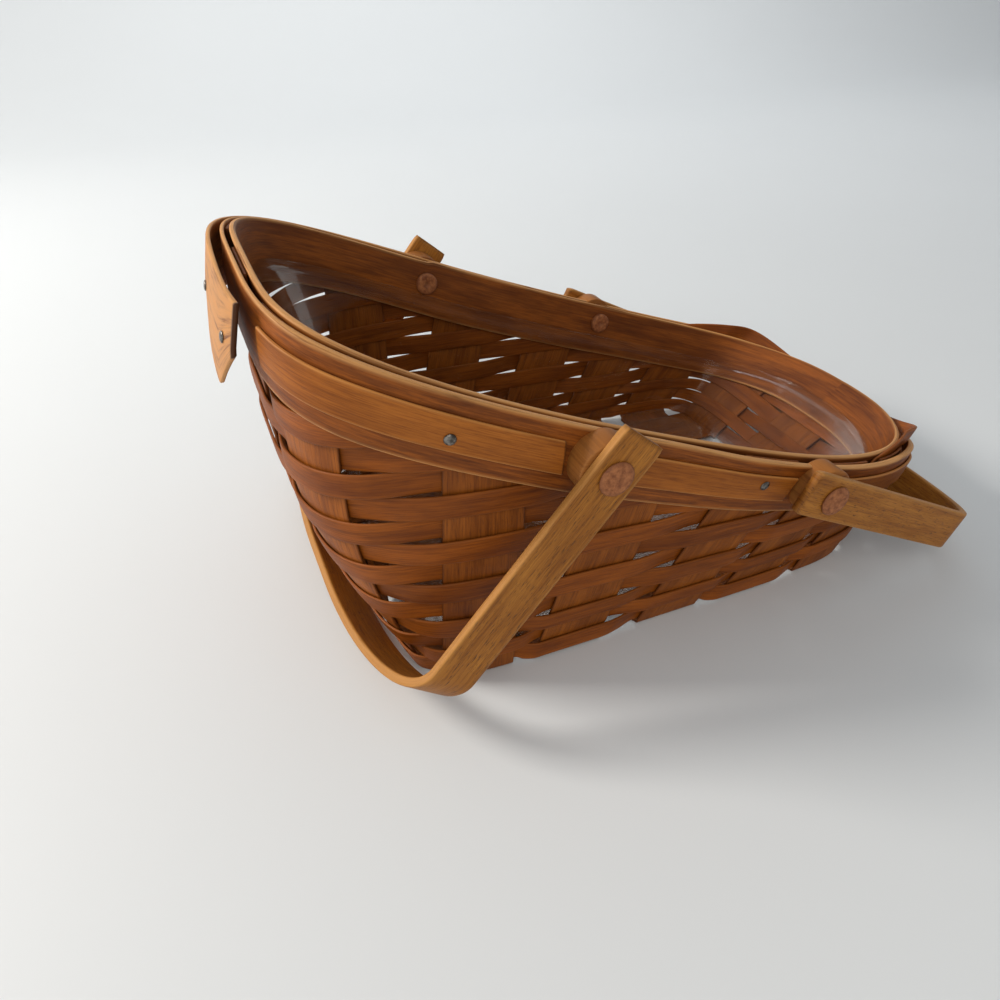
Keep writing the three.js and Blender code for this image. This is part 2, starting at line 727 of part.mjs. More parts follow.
function rowGeometry(row) {
  const [bottom, top] = [rowBottom(row), rowTop(row)];
  const stops = stopsRound((w) => shareAtRise(w, rowMiddle(row)));
  const offsetAt = ({ number, way }) => {
    const next = number === LOW_END ? 1 - LOW_END : number + 1;
    const sides = [number, next].map((splint) => (runsOutside(row, splint) ? 1 : -1));
    return WEAVER_OFFSET * THREE.MathUtils.lerp(sides[0], sides[1], way);
  };
  const loopAt = (stop) => {
    const [low, high] = [bottom, top].map((rise) => shareAtRise(stop.w, rise));
    const middle = offsetAt(stop);
    const half = WEAVER_THICKNESS / 2;
    return [
      wallPoint(stop.w, low, middle - half),
      wallPoint(stop.w, high, middle - half),
      wallPoint(stop.w, high, middle + half),
      wallPoint(stop.w, low, middle + half),
    ];
  };
  const topDrop = (w) => THREE.MathUtils.lerp(
    WEAVER_TOP_DROP, PINCHED_WEAVER_TOP_DROP, pinchShare(w),
  );
  const reached = (w) => top <= fullRise(w) - topDrop(w);
  if (reached(1)) return loft(stops.map(loopAt), 'joined');
  let [near, far] = [0, 1];
  for (let i = 0; i < HALVINGS; i += 1) {
    const middle = (near + far) / 2;
    if (reached(middle)) near = middle;
    else far = middle;
  }
  return loft(stops.filter(({ w }) => Math.abs(w) <= near).map(loopAt), 'strip');
}

for (let row = 1; row <= ROWS; row += 1) {
  const near = shankCutters.filter(
    ({ pivot }) => Math.abs(pivot.rise - rowMiddle(row)) < ROW_PITCH,
  );
  const geometry = rowGeometry(row);
  const name = `weaver_row_${String(row).padStart(2, '0')}`;
  const cutters = near.map(({ solid }) => solid);
  addMesh(name, cutters.length ? drilled(geometry, cutters) : geometry, materials.weaver);
}

// Rim bands: each has an inner and an outer distance from the wall's middle, and how far its
// top and its bottom lie below the rim's top
function bandHeight(w) {
  const share = THREE.MathUtils.smoothstep(Math.abs(wrapPlace(w)), 0, 1);
  return THREE.MathUtils.lerp(BAND_HEIGHT_TALL, BAND_HEIGHT_LOW, share);
}

// Distance of the bands' near faces from the wall's middle: less in their pinched upper half
function bandSeat(w, drop) {
  const raised = Math.max(1 - (2 * drop) / bandHeight(w), 0);
  return BAND_SEAT - pinchShare(Math.abs(wrapPlace(w))) * raised * (BAND_SEAT - BAND_PINCH);
}

function innerBandFace(w, drop) {
  return bandSeat(w, drop) + INNER_BAND_THICKNESS;
}

const rimStops = stopsRound((w) => shareBelowRim(w, bandHeight(w) / 2));

function bandGeometry(band) {
  const loopAt = (w) => {
    const drops = [band.bottom(w), bandHeight(w) / 2, band.top(w)];
    const inner = drops.map((drop) => wallPoint(w, shareBelowRim(w, drop), band.inner(w, drop)));
    const outer = drops.map((drop) => wallPoint(w, shareBelowRim(w, drop), band.outer(w, drop)));
    return [...inner, ...outer.reverse()];
  };
  if (band.from === undefined) return loft(rimStops.map(({ w }) => loopAt(w)), 'joined');
  const places = stopsBetween(rimStops, band.from, band.to).map(({ w }) => w);
  const all = [...places, ...(band.also ?? [])].sort((a, b) => a - b);
  return loft(all.map(loopAt), 'strip');
}

const allShanks = shankCutters.map(({ solid }) => solid);

const LAP_TACK_PLACES = [-0.035, 0.07];

// Tacks: place, share of the band's height below the rim's top, turns of the outer band under
// the head, and whether the head lies on the trim
const tackPlaces = [
  { w: LAP_TACK_PLACES[0], share: 0.5, turns: 2, onTrim: false },
  { w: LAP_TACK_PLACES[1], share: 0.5, turns: 2, onTrim: false },
  { w: 0.225, share: 0.53, turns: 0, onTrim: true },
  { w: 0.49, share: 0.4, turns: 0, onTrim: true },
  { w: 0.85, share: 0.5, turns: 0, onTrim: true },
  { w: -0.25, share: 0.5, turns: 2, onTrim: true },
  { w: -0.49, share: 0.5, turns: 2, onTrim: true },
  { w: -0.85, share: 0.5, turns: 2, onTrim: true },
];

// The outer band starts at the tall end, goes once round and laps over its own start
function nearestStop(w) {
  const distance = (stop) => Math.abs(stop.w - w);
  return rimStops.reduce((best, stop) => (distance(stop) < distance(best) ? stop : best)).w;
}

const lapFrom = nearestStop(LAP_FROM);
const lapTo = nearestStop(LAP_TO);
const clipFrom = 2 + lapTo - LAP_CLIP;
const lapOffset = LAP_INNER_THICKNESS + CLEARANCE;

function lapShare(w) {
  return THREE.MathUtils.smoothstep(w, 2 + lapFrom - LAP_RAMP, 2 + lapFrom - LAP_LEAD);
}

// The lapping end springs away from the basket, most of all at its lower edge, and curls back
// a little at its tip
function spring(w, drop) {
  const along = Math.max((w - 2 - lapTo) / LAP_SPRING_LENGTH + 1, 0);
  const curl = THREE.MathUtils.smoothstep(along, 0, 1) * (1 - LAP_SPRING_RETURN * along ** 2);
  return curl * THREE.MathUtils.lerp(LAP_SPRING_HEAD, LAP_SPRING_FOOT, drop / BAND_HEIGHT_TALL);
}

// Lower edge of the outer band, which widens over the lap and has its last corner cut off
function outerBandBottom(w) {
  const flare = LAP_FLARE * THREE.MathUtils.smoothstep(w, 2 + lapFrom, 2 + lapTo);
  return bandHeight(w) + flare - LAP_CLIP_DROP * Math.max((w - clipFrom) / LAP_CLIP, 0);
}

function outerBandInner(w, drop) {
  return bandSeat(w, drop) + lapShare(w) * lapOffset + spring(w, drop);
}

function outerBandOuter(w, drop) {
  const startShare = 1 - THREE.MathUtils.smoothstep(w, lapTo, lapTo + LAP_RAMP);
  const thickness = BAND_THICKNESS
    - startShare * (BAND_THICKNESS - LAP_INNER_THICKNESS)
    - lapShare(w) * (BAND_THICKNESS - LAP_OUTER_THICKNESS);
  return outerBandInner(w, drop) + thickness;
}

function trimInner(w, drop) {
  return outerBandOuter(w, drop) + BAND_CLEARANCE;
}

function trimOuter(w, drop) {
  return trimInner(w, drop) + TRIM_THICKNESS;
}

const level = (value) => () => value;

function trimOn(from, to, turns) {
  return {
    from,
    to,
    top: (w) => TRIM_TOP * bandHeight(w),
    bottom: (w) => TRIM_BOTTOM * bandHeight(w),
    inner: (w, drop) => trimInner(w + turns, drop),
    outer: (w, drop) => trimOuter(w + turns, drop),
  };
}

const washerReach = pivots.map(({ w, drop }) => (
  placesFor(WASHER_DIAMETER / 2 + TRIM_END_GAP, w, shareBelowRim(w, drop))
));
const beforeWashers = pivots.map(({ w }, i) => w - washerReach[i]);
const pastWashers = pivots.map(({ w }, i) => w + washerReach[i]);
const trimEnds = [...beforeWashers, ...pastWashers].flatMap((w) => [w, 2 - w]);

const bands = {
  inner_rim_band: {
    top: level(0),
    bottom: level(INNER_BAND_HEIGHT),
    inner: (w, drop) => -innerBandFace(w, drop),
    outer: (w, drop) => -bandSeat(w, drop),
  },
  outer_rim_band: {
    from: lapFrom,
    to: 2 + lapTo,
    also: [...trimEnds, ...LAP_TACK_PLACES.map((w) => 2 + w), clipFrom],
    top: level(0),
    bottom: outerBandBottom,
    inner: outerBandInner,
    outer: outerBandOuter,
  },
  trim_back_tall: trimOn(-beforeWashers[0], lapFrom - LAP_RAMP, 2),
  trim_front_tall: trimOn(lapTo + LAP_LEAD, beforeWashers[0], 0),
  trim_front_middle: trimOn(pastWashers[0], beforeWashers[1], 0),
  trim_low_end: trimOn(pastWashers[1], 2 - pastWashers[1], 0),
  trim_back_middle: trimOn(-beforeWashers[1], -pastWashers[0], 2),
};

const TACK_HOLE_REACH = 2;
const FACE_STEP = 1;
const tacks = tackPlaces.map(({ w, share, turns, onTrim }) => {
  const face = onTrim ? trimOuter : outerBandOuter;
  const pointAt = (place, drop) => (
    wallPoint(place, shareBelowRim(place, drop), face(place + turns, drop))
  );
  const drop = share * bandHeight(w);
  const along = pointAt(w + PLACE_STEP, drop).sub(pointAt(w - PLACE_STEP, drop));
  const up = pointAt(w, drop - FACE_STEP).sub(pointAt(w, drop + FACE_STEP));
  return { out: pointAt(w, drop), normal: along.cross(up).normalize() };
});
const tackCutters = tacks.map(({ out, normal }) => toSolid(rod(
  out.clone().addScaledVector(normal, TACK_HOLE_REACH),
  out.clone().addScaledVector(normal, -TACK_SHANK_LENGTH - CLEARANCE),
  TACK_SHANK_DIAMETER + 2 * CLEARANCE,
  SMALL_SIDES,
)));

Object.entries(bands).forEach(([name, band]) => {
  const cutters = name === 'inner_rim_band' ? allShanks : [...allShanks, ...tackCutters];
  addMesh(name, drilled(bandGeometry(band), cutters), materials.band);
});

tacks.forEach(({ out, normal }, i) => {
  const at = (distance) => out.clone().addScaledVector(normal, distance);
  const headTop = CLEARANCE + TACK_HEAD_HEIGHT;
  const headMiddle = CLEARANCE + TACK_HEAD_HEIGHT / 2;
  const head = rod(at(CLEARANCE), at(headTop), TACK_HEAD_DIAMETER, 2 * SMALL_SIDES);
  const shank = rod(at(-TACK_SHANK_LENGTH), at(headMiddle), TACK_SHANK_DIAMETER, SMALL_SIDES);
  addMesh(`tack_${i + 1}`, toGeometry(toSolid(head).add(toSolid(shank))), materials.tack);
});

const SLAB_REACH = 15;

// Thick slab that stands in for a band, to shape what lies against it
function slab(inner, outer) {
  return toSolid(bandGeometry({
    top: level(-SLAB_REACH),
    bottom: level(BAND_HEIGHT_TALL + SLAB_REACH),
    inner,
    outer,
  }));
}

const washerSlab = slab(
  level(-WASHER_DIAMETER / 2),
  (w, drop) => bandSeat(w, drop) + BAND_THICKNESS + CLEARANCE,
);
const buttonSlab = slab(
  (w, drop) => -innerBandFace(w, drop) - CLEARANCE,
  level(RIVET_BUTTON_DIAMETER / 2),
);
const strapInnerY = HANDLE_SPREAD / 2 - STRAP_THICKNESS / 2;
const strapOuterY = HANDLE_SPREAD / 2 + STRAP_THICKNESS / 2;
const headFrom = strapOuterY + CLEARANCE;
const headTo = headFrom + RIVET_HEAD_HEIGHT;
const SHANK_OVERLAP = 0.5;

pivots.forEach((pivot) => {
  [{ name: 'front', side: -1 }, { name: 'back', side: 1 }].forEach(({ name, side }) => {
    const round = (fromY, toY, diameter, sides) => (
      toSolid(pivotLine(pivot, side, fromY, toY, diameter, sides))
    );
    const wallY = Math.abs(pivot.at.y);
    const washer = round(wallY, strapInnerY - CLEARANCE, WASHER_DIAMETER, WASHER_SIDES);
    const hole = round(HOLE_INNER_Y, HOLE_OUTER_Y, SHANK_HOLE, ROUND_SIDES);
    const fitted = washer.subtract(washerSlab).subtract(hole);
    addMesh(`washer_${pivot.end}_${name}`, toGeometry(fitted), materials.rivet);

    const buttonTo = wallY - INNER_BAND_FACE - RIVET_BUTTON_HEIGHT;
    const shankFrom = buttonTo + SHANK_OVERLAP;
    const shankTo = headFrom + SHANK_OVERLAP;
    const shank = round(shankFrom, shankTo, RIVET_SHANK_DIAMETER, ROUND_SIDES);
    const head = round(headFrom, headTo, RIVET_HEAD_DIAMETER, WASHER_SIDES);
    const button = round(buttonTo, wallY, RIVET_BUTTON_DIAMETER, WASHER_SIDES);
    const rivet = shank.add(head).add(button.subtract(buttonSlab));
    addMesh(`rivet_${pivot.end}_${name}`, toGeometry(rivet), materials.rivet);
  });
});

// Handles: a strap bent to a U, at rest with its bow on the table
function restAngle(pivot) {
  const across = STRAP_WIDTH / 2;
  const along = HANDLE_LENGTH + STRAP_THICKNESS / 2;
  const reach = Math.hypot(across, along);
  return Math.acos((pivot.at.z - TABLE_CLEARANCE) / reach) + Math.atan2(across, along);
}

function handlePath() {
  const half = HANDLE_SPREAD / 2;
  const points = [{ y: -half, s: -HANDLE_STUB, angle: 0 }];
  for (let i = 0; i <= BOW_STEPS; i += 1) {
    const angle = (i / BOW_STEPS) * (Math.PI / 2);
    points.push({
      y: -half + HANDLE_CORNER_ACROSS * (1 - Math.cos(angle)),
      s: HANDLE_LENGTH - HANDLE_CORNER_ALONG * (1 - Math.sin(angle)),
      angle: Math.atan2(
        HANDLE_CORNER_ACROSS * Math.sin(angle),
        HANDLE_CORNER_ALONG * Math.cos(angle),
      ),
    });
  }
  const back = points.map(({ y, s, angle }) => ({ y: -y, s, angle: Math.PI - angle })).reverse();
  return [...points, ...back];
}

pivots.forEach((pivot, i) => {
  const towards = i === 0 ? -1 : 1;
  const angle = restAngle(pivot);
  const down = new THREE.Vector3(towards * Math.sin(angle), 0, -Math.cos(angle));
  const across = new THREE.Vector3(-down.z, 0, down.x);
  const origin = new THREE.Vector3(pivot.at.x, 0, pivot.at.z);
  const loops = handlePath().map(({ y, s, angle: turn }) => {
    const corner = (width, thickness) => origin.clone()
      .addScaledVector(down, s + thickness * Math.sin(turn))
      .addScaledVector(across, width)
      .add(new THREE.Vector3(0, y - thickness * Math.cos(turn), 0));
    const [w, t] = [STRAP_WIDTH / 2, STRAP_THICKNESS / 2];
    return [corner(-w, -t), corner(w, -t), corner(w, t), corner(-w, t)];
  });
  const own = shankCutters.filter((cutter) => cutter.pivot === pivot);
  const cutters = own.map(({ solid }) => solid);
  addMesh(`handle_${pivot.end}`, drilled(loft(loops, 'strip'), cutters), materials.strap);
});

// Liner: a tray that follows the wall inside the rivets' buttons
const linerStops = rimStops.filter((_, i) => i % 2 === 0);

function linerLoop(drop, offset) {
  return linerStops.map(({ w }) => wallPoint(w, shareBelowRim(w, drop), -offset));
}

function linerFloorLoop(z, offset) {
  return linerStops.map(({ w }) => {
    const point = wallPoint(w, z / wallMiddle(w, 1).z, -offset);
    point.z = z;
    return point;
  });
}

const linerBody = LINER_OUTER + LINER_LIP;
const linerFloor = FLOOR_TOP + CLEARANCE;
const linerShoulder = LINER_TOP_DROP + LINER_LIP_HEIGHT;
const bendOuter = LINER_CORNER * LINER_BEND_OUTER;
const bendRise = LINER_THICKNESS + LINER_CORNER * LINER_BEND_INNER_RISE;
const bendReach = LINER_CORNER * LINER_BEND_INNER_REACH + LINER_BEND_INNER_MORE;
const linerLoops = [
  linerFloorLoop(linerFloor, linerBody + LINER_CORNER),
  linerFloorLoop(linerFloor + bendOuter, linerBody + bendOuter),
  linerFloorLoop(linerFloor + LINER_CORNER, linerBody),
  linerLoop(linerShoulder + LINER_LIP, linerBody),
  linerLoop(linerShoulder, LINER_OUTER),
  linerLoop(LINER_TOP_DROP, LINER_OUTER),
  linerLoop(LINER_TOP_DROP, LINER_OUTER + LINER_THICKNESS),
  linerLoop(linerShoulder, LINER_OUTER + LINER_THICKNESS),
  linerLoop(linerShoulder + LINER_LIP, linerBody + LINER_THICKNESS),
  linerFloorLoop(linerFloor + LINER_CORNER, linerBody + LINER_THICKNESS),
  linerFloorLoop(linerFloor + bendRise, linerBody + bendReach),
  linerFloorLoop(linerFloor + LINER_THICKNESS, linerBody + LINER_CORNER),
];
addMesh('liner', loft(linerLoops, 'ring'), materials.liner);

export default basket;
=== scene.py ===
"""Looks of a splint basket with a slanted rim, two swinging strap handles and a clear liner.

The wall is one curved surface, W(w, t, d). The place w runs once round the basket, from -1 at the
low end's middle, along the back, through 0 at the tall end's middle and along the front to 1. The
share t runs from 0 at the floor to 1 at the rim, and d is the distance outwards from the wall's
middle. Splints, weavers, rim bands, trim and liner are all strips laid on that surface.
"""

import logging
import math
from collections.abc import Callable
from dataclasses import dataclass
from enum import Enum

import bpy
import numpy as np
from mathutils import Matrix, Vector


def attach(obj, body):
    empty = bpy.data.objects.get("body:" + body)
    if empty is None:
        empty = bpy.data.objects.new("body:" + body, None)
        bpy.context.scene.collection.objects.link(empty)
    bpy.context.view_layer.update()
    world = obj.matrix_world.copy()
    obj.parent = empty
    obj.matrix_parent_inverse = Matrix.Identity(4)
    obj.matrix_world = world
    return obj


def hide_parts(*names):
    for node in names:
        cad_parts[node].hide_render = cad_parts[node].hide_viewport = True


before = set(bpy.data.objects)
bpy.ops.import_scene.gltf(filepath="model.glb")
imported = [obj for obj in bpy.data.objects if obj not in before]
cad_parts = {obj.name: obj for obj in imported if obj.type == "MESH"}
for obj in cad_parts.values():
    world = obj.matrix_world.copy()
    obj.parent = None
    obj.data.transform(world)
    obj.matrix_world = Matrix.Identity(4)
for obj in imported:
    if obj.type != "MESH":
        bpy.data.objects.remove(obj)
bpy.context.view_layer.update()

log = logging.getLogger("slant_basket")
MM = 0.001
BASKET = "basket"
Array = np.ndarray
Triple = tuple[float, float, float]
Socket = bpy.types.NodeSocket
Piece = bpy.types.Object

TURN = 2.0 * math.pi
QUARTER = math.pi / 2.0
NOWHERE = (0.0, 0.0, 0.0)
# A wobble is made of this many waves, and their sum is divided by this to stay between -1 and 1.
WAVES = 3
WAVES_SUM = 1.83
# Places round half the basket at which the wall is worked out.
CLOSE_PLACES = 2001
# A strip's eased edge: points and edge tint (wear, and painted shade on the splints), how far in the flat
# face starts, and depths, all in shares.
EASE_PLACES = (0.0, 0.3, 1.0)
EASE_WEAR_AND_SHADE = (1.0, 0.85, 0.35)
FACE_FROM = 2.4
EASE_HEIGHT = 0.72
SIDE_DEPTH = 0.25
# Metres by which the grain of a strip's inner face is moved, so that it differs from the outer one.
BACK_GRAIN_SHIFT = 0.031
# Waves round a turned piece: times round, phase and share of the whole.
OUT_OF_ROUND = ((2.0, 0.7, 1.0), (3.0, 2.0, 0.6))


def smooth(share: Array | float) -> Array | float:
    """Eases a share from 0 to 1: s squared times (3 - 2 s), held at 0 and 1 outside.

    Args:
        share: the plain share.

    Returns:
        The eased share.
    """
    held = np.clip(share, 0.0, 1.0)
    return held * held * (3.0 - 2.0 * held)


def wobble(along: Array, wavelength: float, seed: int) -> Array:
    """Gentle hand-made unevenness between -1 and 1: three sines with seeded phases.

    Args:
        along: distances along a piece.
        wavelength: length of the longest wave, in the unit of along.
        seed: picks the phases.

    Returns:
        The unevenness at each distance.
    """
    rng = np.random.default_rng(seed)
    phases = rng.uniform(0.0, TURN, WAVES)
    turns = TURN * along / wavelength
    waves = [np.sin(turns * (k + 1.0) + phases[k]) / (k + 1.0) for k in range(WAVES)]
    return sum(waves) / WAVES_SUM


def linear(hex_colour: str) -> tuple[float, float, float, float]:
    """Turns a written colour such as 98602f into the linear values that shaders take.

    Args:
        hex_colour: six hexadecimal digits.

    Returns:
        Red, green, blue and an alpha of 1.
    """
    parts = [int(hex_colour[i:i + 2], 16) / 255.0 for i in (0, 2, 4)]
    red, green, blue = [p / 12.92 if p <= 0.04045 else ((p + 0.055) / 1.055) ** 2.4 for p in parts]
    return red, green, blue, 1.0


class NodeSheet:
    """The shader nodes of one material."""

    def __init__(self, name: str) -> None:
        """Starts a material with only its output."""
        self.material = bpy.data.materials.new(name)
        self.material.use_nodes = True
        self.tree = self.material.node_tree
        self.tree.nodes.clear()
        self.output = self.tree.nodes.new("ShaderNodeOutputMaterial")

    def add(self, kind: str, settings: dict | None = None, **inputs: object) -> bpy.types.Node:
        """Adds a node, sets its properties, and sets or links its inputs.

        Args:
            kind: Blender's class name without the leading ShaderNode.
            settings: the node's own properties.
            **inputs: values or sockets, by the input's name with underscores for spaces.

        Returns:
            The new node.
        """
        node = self.tree.nodes.new("ShaderNode" + kind)
        for key, value in (settings or {}).items():
            setattr(node, key, value)
        for key, value in inputs.items():
            if key[1:].isdigit():
                socket = node.inputs[int(key[1:])]
            else:
                socket = node.inputs[key.replace("_", " ")]
            if isinstance(value, Socket):
                self.tree.links.new(value, socket)
            else:
                socket.default_value = value
        return node

    def times(self, first: object, second: object) -> Socket:
        """Multiplies two values."""
        return self.add("Math", {"operation": "MULTIPLY"}, i0=first, i1=second).outputs[0]

    def plus(self, first: object, second: object) -> Socket:
        """Adds two values."""
        return self.add("Math", {"operation": "ADD"}, i0=first, i1=second).outputs[0]

    def mix(self, share: object, first: object, second: object, way: str = "MIX") -> Socket:
        """Mixes two colours by a share and returns the colour."""
        settings = {"data_type": "RGBA", "blend_type": way, "clamp_factor": True}
        return self.add("Mix", settings, i0=share, i6=first, i7=second).outputs[2]

    def ramp(self, value: object, low: float, high: float) -> Socket:
        """Maps a value from low..high to 0..1, smoothly and clamped."""
        settings = {"interpolation_type": "SMOOTHSTEP", "clamp": True}
        return self.add("MapRange", settings, Value=value, From_Min=low, From_Max=high).outputs[0]

    def noise(
        self, source: Socket, scale: Triple, shift: Triple, detail: float, roughness: float,
        distortion: float = 0.0,
    ) -> Socket:
        """Adds a noise on a scaled and shifted vector.

        Args:
            source: the vector.
            scale: its stretch, so that 1 over it is about a feature's size in metres.
            shift: moves the pattern, so that no two pieces are alike.
            detail: number of ever finer layers.
            roughness: strength of the finer layers.
            distortion: how far the pattern swirls.

        Returns:
            The noise's value, about 0.5 on average.
        """
        placed = self.add("Mapping", None, Vector=source, Scale=scale, Location=shift).outputs[0]
        node = self.add(
            "TexNoise", None, Vector=placed, Scale=1.0, Detail=detail, Roughness=roughness,
            Distortion=distortion,
        )
        return node.outputs["Fac"]

    def place(self) -> Socket:
        """The point on the piece itself, in metres."""
        return self.add("TexCoord").outputs["Object"]

    def attribute(self, name: str) -> Socket:
        """A value that the mesh holds at its points."""
        return self.add("Attribute", {"attribute_name": name}).outputs["Fac"]

    def bump(self, height: Socket, strength: float, depth: float) -> Socket:
        """Turns a height into a bent normal."""
        return self.add("Bump", None, Strength=strength, Distance=depth, Height=height).outputs[0]

    def done(self, shader: bpy.types.Node) -> bpy.types.Material:
        """Links the last shader to the output and returns the material."""
        self.tree.links.new(shader.outputs[0], self.output.inputs[0])
        return self.material


@dataclass(frozen=True)
class WoodFinish:
    """Stained split wood. The grain follows the strip's own UV map, in metres along and across."""

    name: str
    dark: str
    middle: str
    light: str
    edge: str = "c08a52"
    end_cut: str = "4a2c18"
    tone: float = 1.0
    flecks: float = 0.25
    streaks: float = 0.5
    edge_share: float = 0.75
    fineness: float = 1.4
    roughness: float = 0.52
    seed: int = 0
    seed_shift: Triple = (3.71, 1.93, 0.37)
    fibre_scale: Triple = (70.0, 1900.0, 1.0)
    fleck_scale: Triple = (260.0, 2600.0, 1.0)
    streak_length: float = 14.0
    streak_width: float = 300.0
    cloud_length: float = 16.0
    cloud_width: float = 60.0
    grain_band: tuple[float, float] = (0.33, 0.67)
    fibre_band: tuple[float, float] = (0.4, 0.72)
    fleck_band: tuple[float, float] = (0.62, 0.7)
    wear_and_painted_light_band: tuple[float, float] = (0.26, 0.52)
    evenness: float = 0.35
    fibre_depth: float = 0.45
    relief: float = 0.35
    sheen: float = 0.22

    def make(self) -> bpy.types.Material:
        """Builds the material: streaks and fibres along the strip, flecks, an edge tint (wear, with painted
        shade on the splints' edges and painted light on the lapping end), dark cuts.

        Returns:
            The material.
        """
        sheet = NodeSheet(self.name)
        uv = sheet.add("UVMap", {"uv_map": "strip"}).outputs[0]
        shift = tuple(self.seed * part for part in self.seed_shift)
        streak_scale = (self.streak_length * self.fineness, self.streak_width * self.fineness, 1.0)
        cloud_scale = (self.cloud_length * self.fineness, self.cloud_width * self.fineness, 1.0)
        fibres = sheet.noise(uv, self.fibre_scale, shift, 5.0, 0.6)
        streaks = sheet.noise(uv, streak_scale, shift, 5.0, 0.65, 0.15)
        clouds = sheet.noise(uv, cloud_scale, shift, 3.0, 0.55)
        flecks = sheet.noise(uv, self.fleck_scale, shift, 1.0, 0.4)
        broad = sheet.times(clouds, 1.0 - self.streaks)
        grain = sheet.plus(sheet.times(streaks, self.streaks), broad)
        body = sheet.mix(sheet.ramp(grain, *self.grain_band), linear(self.dark), linear(self.light))
        body = sheet.mix(self.evenness, body, linear(self.middle))
        lines = sheet.times(sheet.ramp(fibres, *self.fibre_band), self.fibre_depth)
        body = sheet.mix(lines, body, linear(self.dark), "MULTIPLY")
        pores = sheet.times(sheet.ramp(flecks, *self.fleck_band), self.flecks)
        body = sheet.mix(pores, body, linear(self.end_cut))
        # Edge tint: wear on most strips, painted shade along the splints' edges, and painted light on the
        # outer band's lapping end.
        edge_tint_and_painted_light = sheet.times(sheet.attribute("edge"), sheet.ramp(streaks, *self.wear_and_painted_light_band))
        body = sheet.mix(sheet.times(edge_tint_and_painted_light, self.edge_share), body, linear(self.edge))
        body = sheet.mix(sheet.attribute("shade"), body, linear(self.end_cut))
        toned = sheet.mix(1.0, body, (self.tone, self.tone, self.tone, 1.0), "MULTIPLY")
        rough = sheet.plus(self.roughness - 0.08, sheet.times(streaks, 0.2))
        height = sheet.plus(sheet.times(fibres, 0.6), sheet.times(pores, -1.0))
        normal = sheet.bump(height, self.relief, 0.0004)
        return sheet.done(sheet.add(
            "BsdfPrincipled", None, Base_Color=toned, Roughness=rough, Normal=normal,
            Specular_IOR_Level=self.sheen,
        ))


@dataclass(frozen=True)
class EndGrainFinish:
    """Mottled end grain of the rivets' heads and buttons, with painted shade at their rims and in the
    buttons' dimples.
    """

    name: str
    dark: str = "733a14"
    light: str = "a9693a"
    pit: str = "5a3218"
    pit_share: float = 0.35
    # Painted shade: the rims of the heads and the buttons' dimples are darkened towards this colour.
    rim: str = "5b3624"
    rim_shade_share: float = 0.35
    roughness: float = 0.68
    patch_scale: float = 420.0
    speck_scale: float = 1500.0
    seed: int = 0

    def make(self) -> bpy.types.Material:
        """Builds the material: two sizes of mottling, with pits.

        Returns:
            The material.
        """
        sheet = NodeSheet(self.name)
        place = sheet.place()
        shift = (self.seed * 0.7, 0.0, self.seed * 1.3)
        patches = sheet.noise(place, (self.patch_scale,) * 3, shift, 3.0, 0.6, 0.2)
        specks = sheet.noise(place, (self.speck_scale,) * 3, shift, 3.0, 0.7)
        colour = sheet.mix(sheet.ramp(patches, 0.25, 0.72), linear(self.dark), linear(self.light))
        pits = sheet.times(sheet.ramp(specks, 0.52, 0.7), self.pit_share)
        colour = sheet.mix(pits, colour, linear(self.pit))
        # Painted shade at the rims and in the dimples, carried by the edge tint.
        edge_tint_and_painted_light = sheet.times(sheet.attribute("edge"), self.rim_shade_share)
        colour = sheet.mix(edge_tint_and_painted_light, colour, linear(self.rim))
        normal = sheet.bump(sheet.plus(sheet.times(specks, 0.5), patches), 0.45, 0.0004)
        return sheet.done(sheet.add(
            "BsdfPrincipled", None, Base_Color=colour, Roughness=self.roughness, Normal=normal,
        ))


@dataclass(frozen=True)
class TackFinish:
    """Dull steel of the tacks, darker where it has been struck."""

    name: str = "tack_steel"
    dark: str = "4f4a45"
    light: str = "8f8a84"
    spot_scale: float = 500.0

    def make(self) -> bpy.types.Material:
        """Builds the material: scratched and spotted metal.

        Returns:
            The material.
        """
        sheet = NodeSheet(self.name)
        spots = sheet.noise(sheet.place(), (self.spot_scale,) * 3, NOWHERE, 3.0, 0.6)
        colour = sheet.mix(sheet.ramp(spots, 0.38, 0.66), linear(self.dark), linear(self.light))
        rough = sheet.plus(0.22, sheet.times(spots, 0.3))
        normal = sheet.bump(spots, 0.3, 0.0002)
        return sheet.done(sheet.add(
            "BsdfPrincipled", None, Base_Color=colour, Roughness=rough, Normal=normal, Metallic=1.0,
        ))


@dataclass(frozen=True)
class ClearFinish:
    """Clear plastic with faint scuffs."""

    name: str = "liner_clear"
    scuff_scale: Triple = (60.0, 420.0, 90.0)
    gleam: tuple[float, float, float, float] = (0.93, 0.9, 0.86, 1.0)
    refraction: float = 1.45
    clearness: float = 0.955
    sheen: float = 0.22

    def make(self) -> bpy.types.Material:
        """Builds the material: see-through, with a scuffed sheen that grows at a slant.

        Returns:
            The material.
        """
        sheet = NodeSheet(self.name)
        scuffs = sheet.noise(sheet.place(), self.scuff_scale, NOWHERE, 5.0, 0.65, 0.6)
        rough = sheet.plus(0.06, sheet.times(sheet.ramp(scuffs, 0.5, 0.75), 0.25))
        normal = sheet.bump(scuffs, 0.12, 0.0003)
        sheen = sheet.add("BsdfGlossy", None, Color=self.gleam, Roughness=rough, Normal=normal)
        clear = sheet.add("BsdfTransparent", None, Color=(self.clearness,) * 3 + (1.0,))
        slant = sheet.add("Fresnel", None, IOR=self.refraction, Normal=normal).outputs[0]
        share = sheet.times(slant, self.sheen)
        return sheet.done(sheet.add(
            "MixShader", None, i0=share, i1=clear.outputs[0], i2=sheen.outputs[0],
        ))


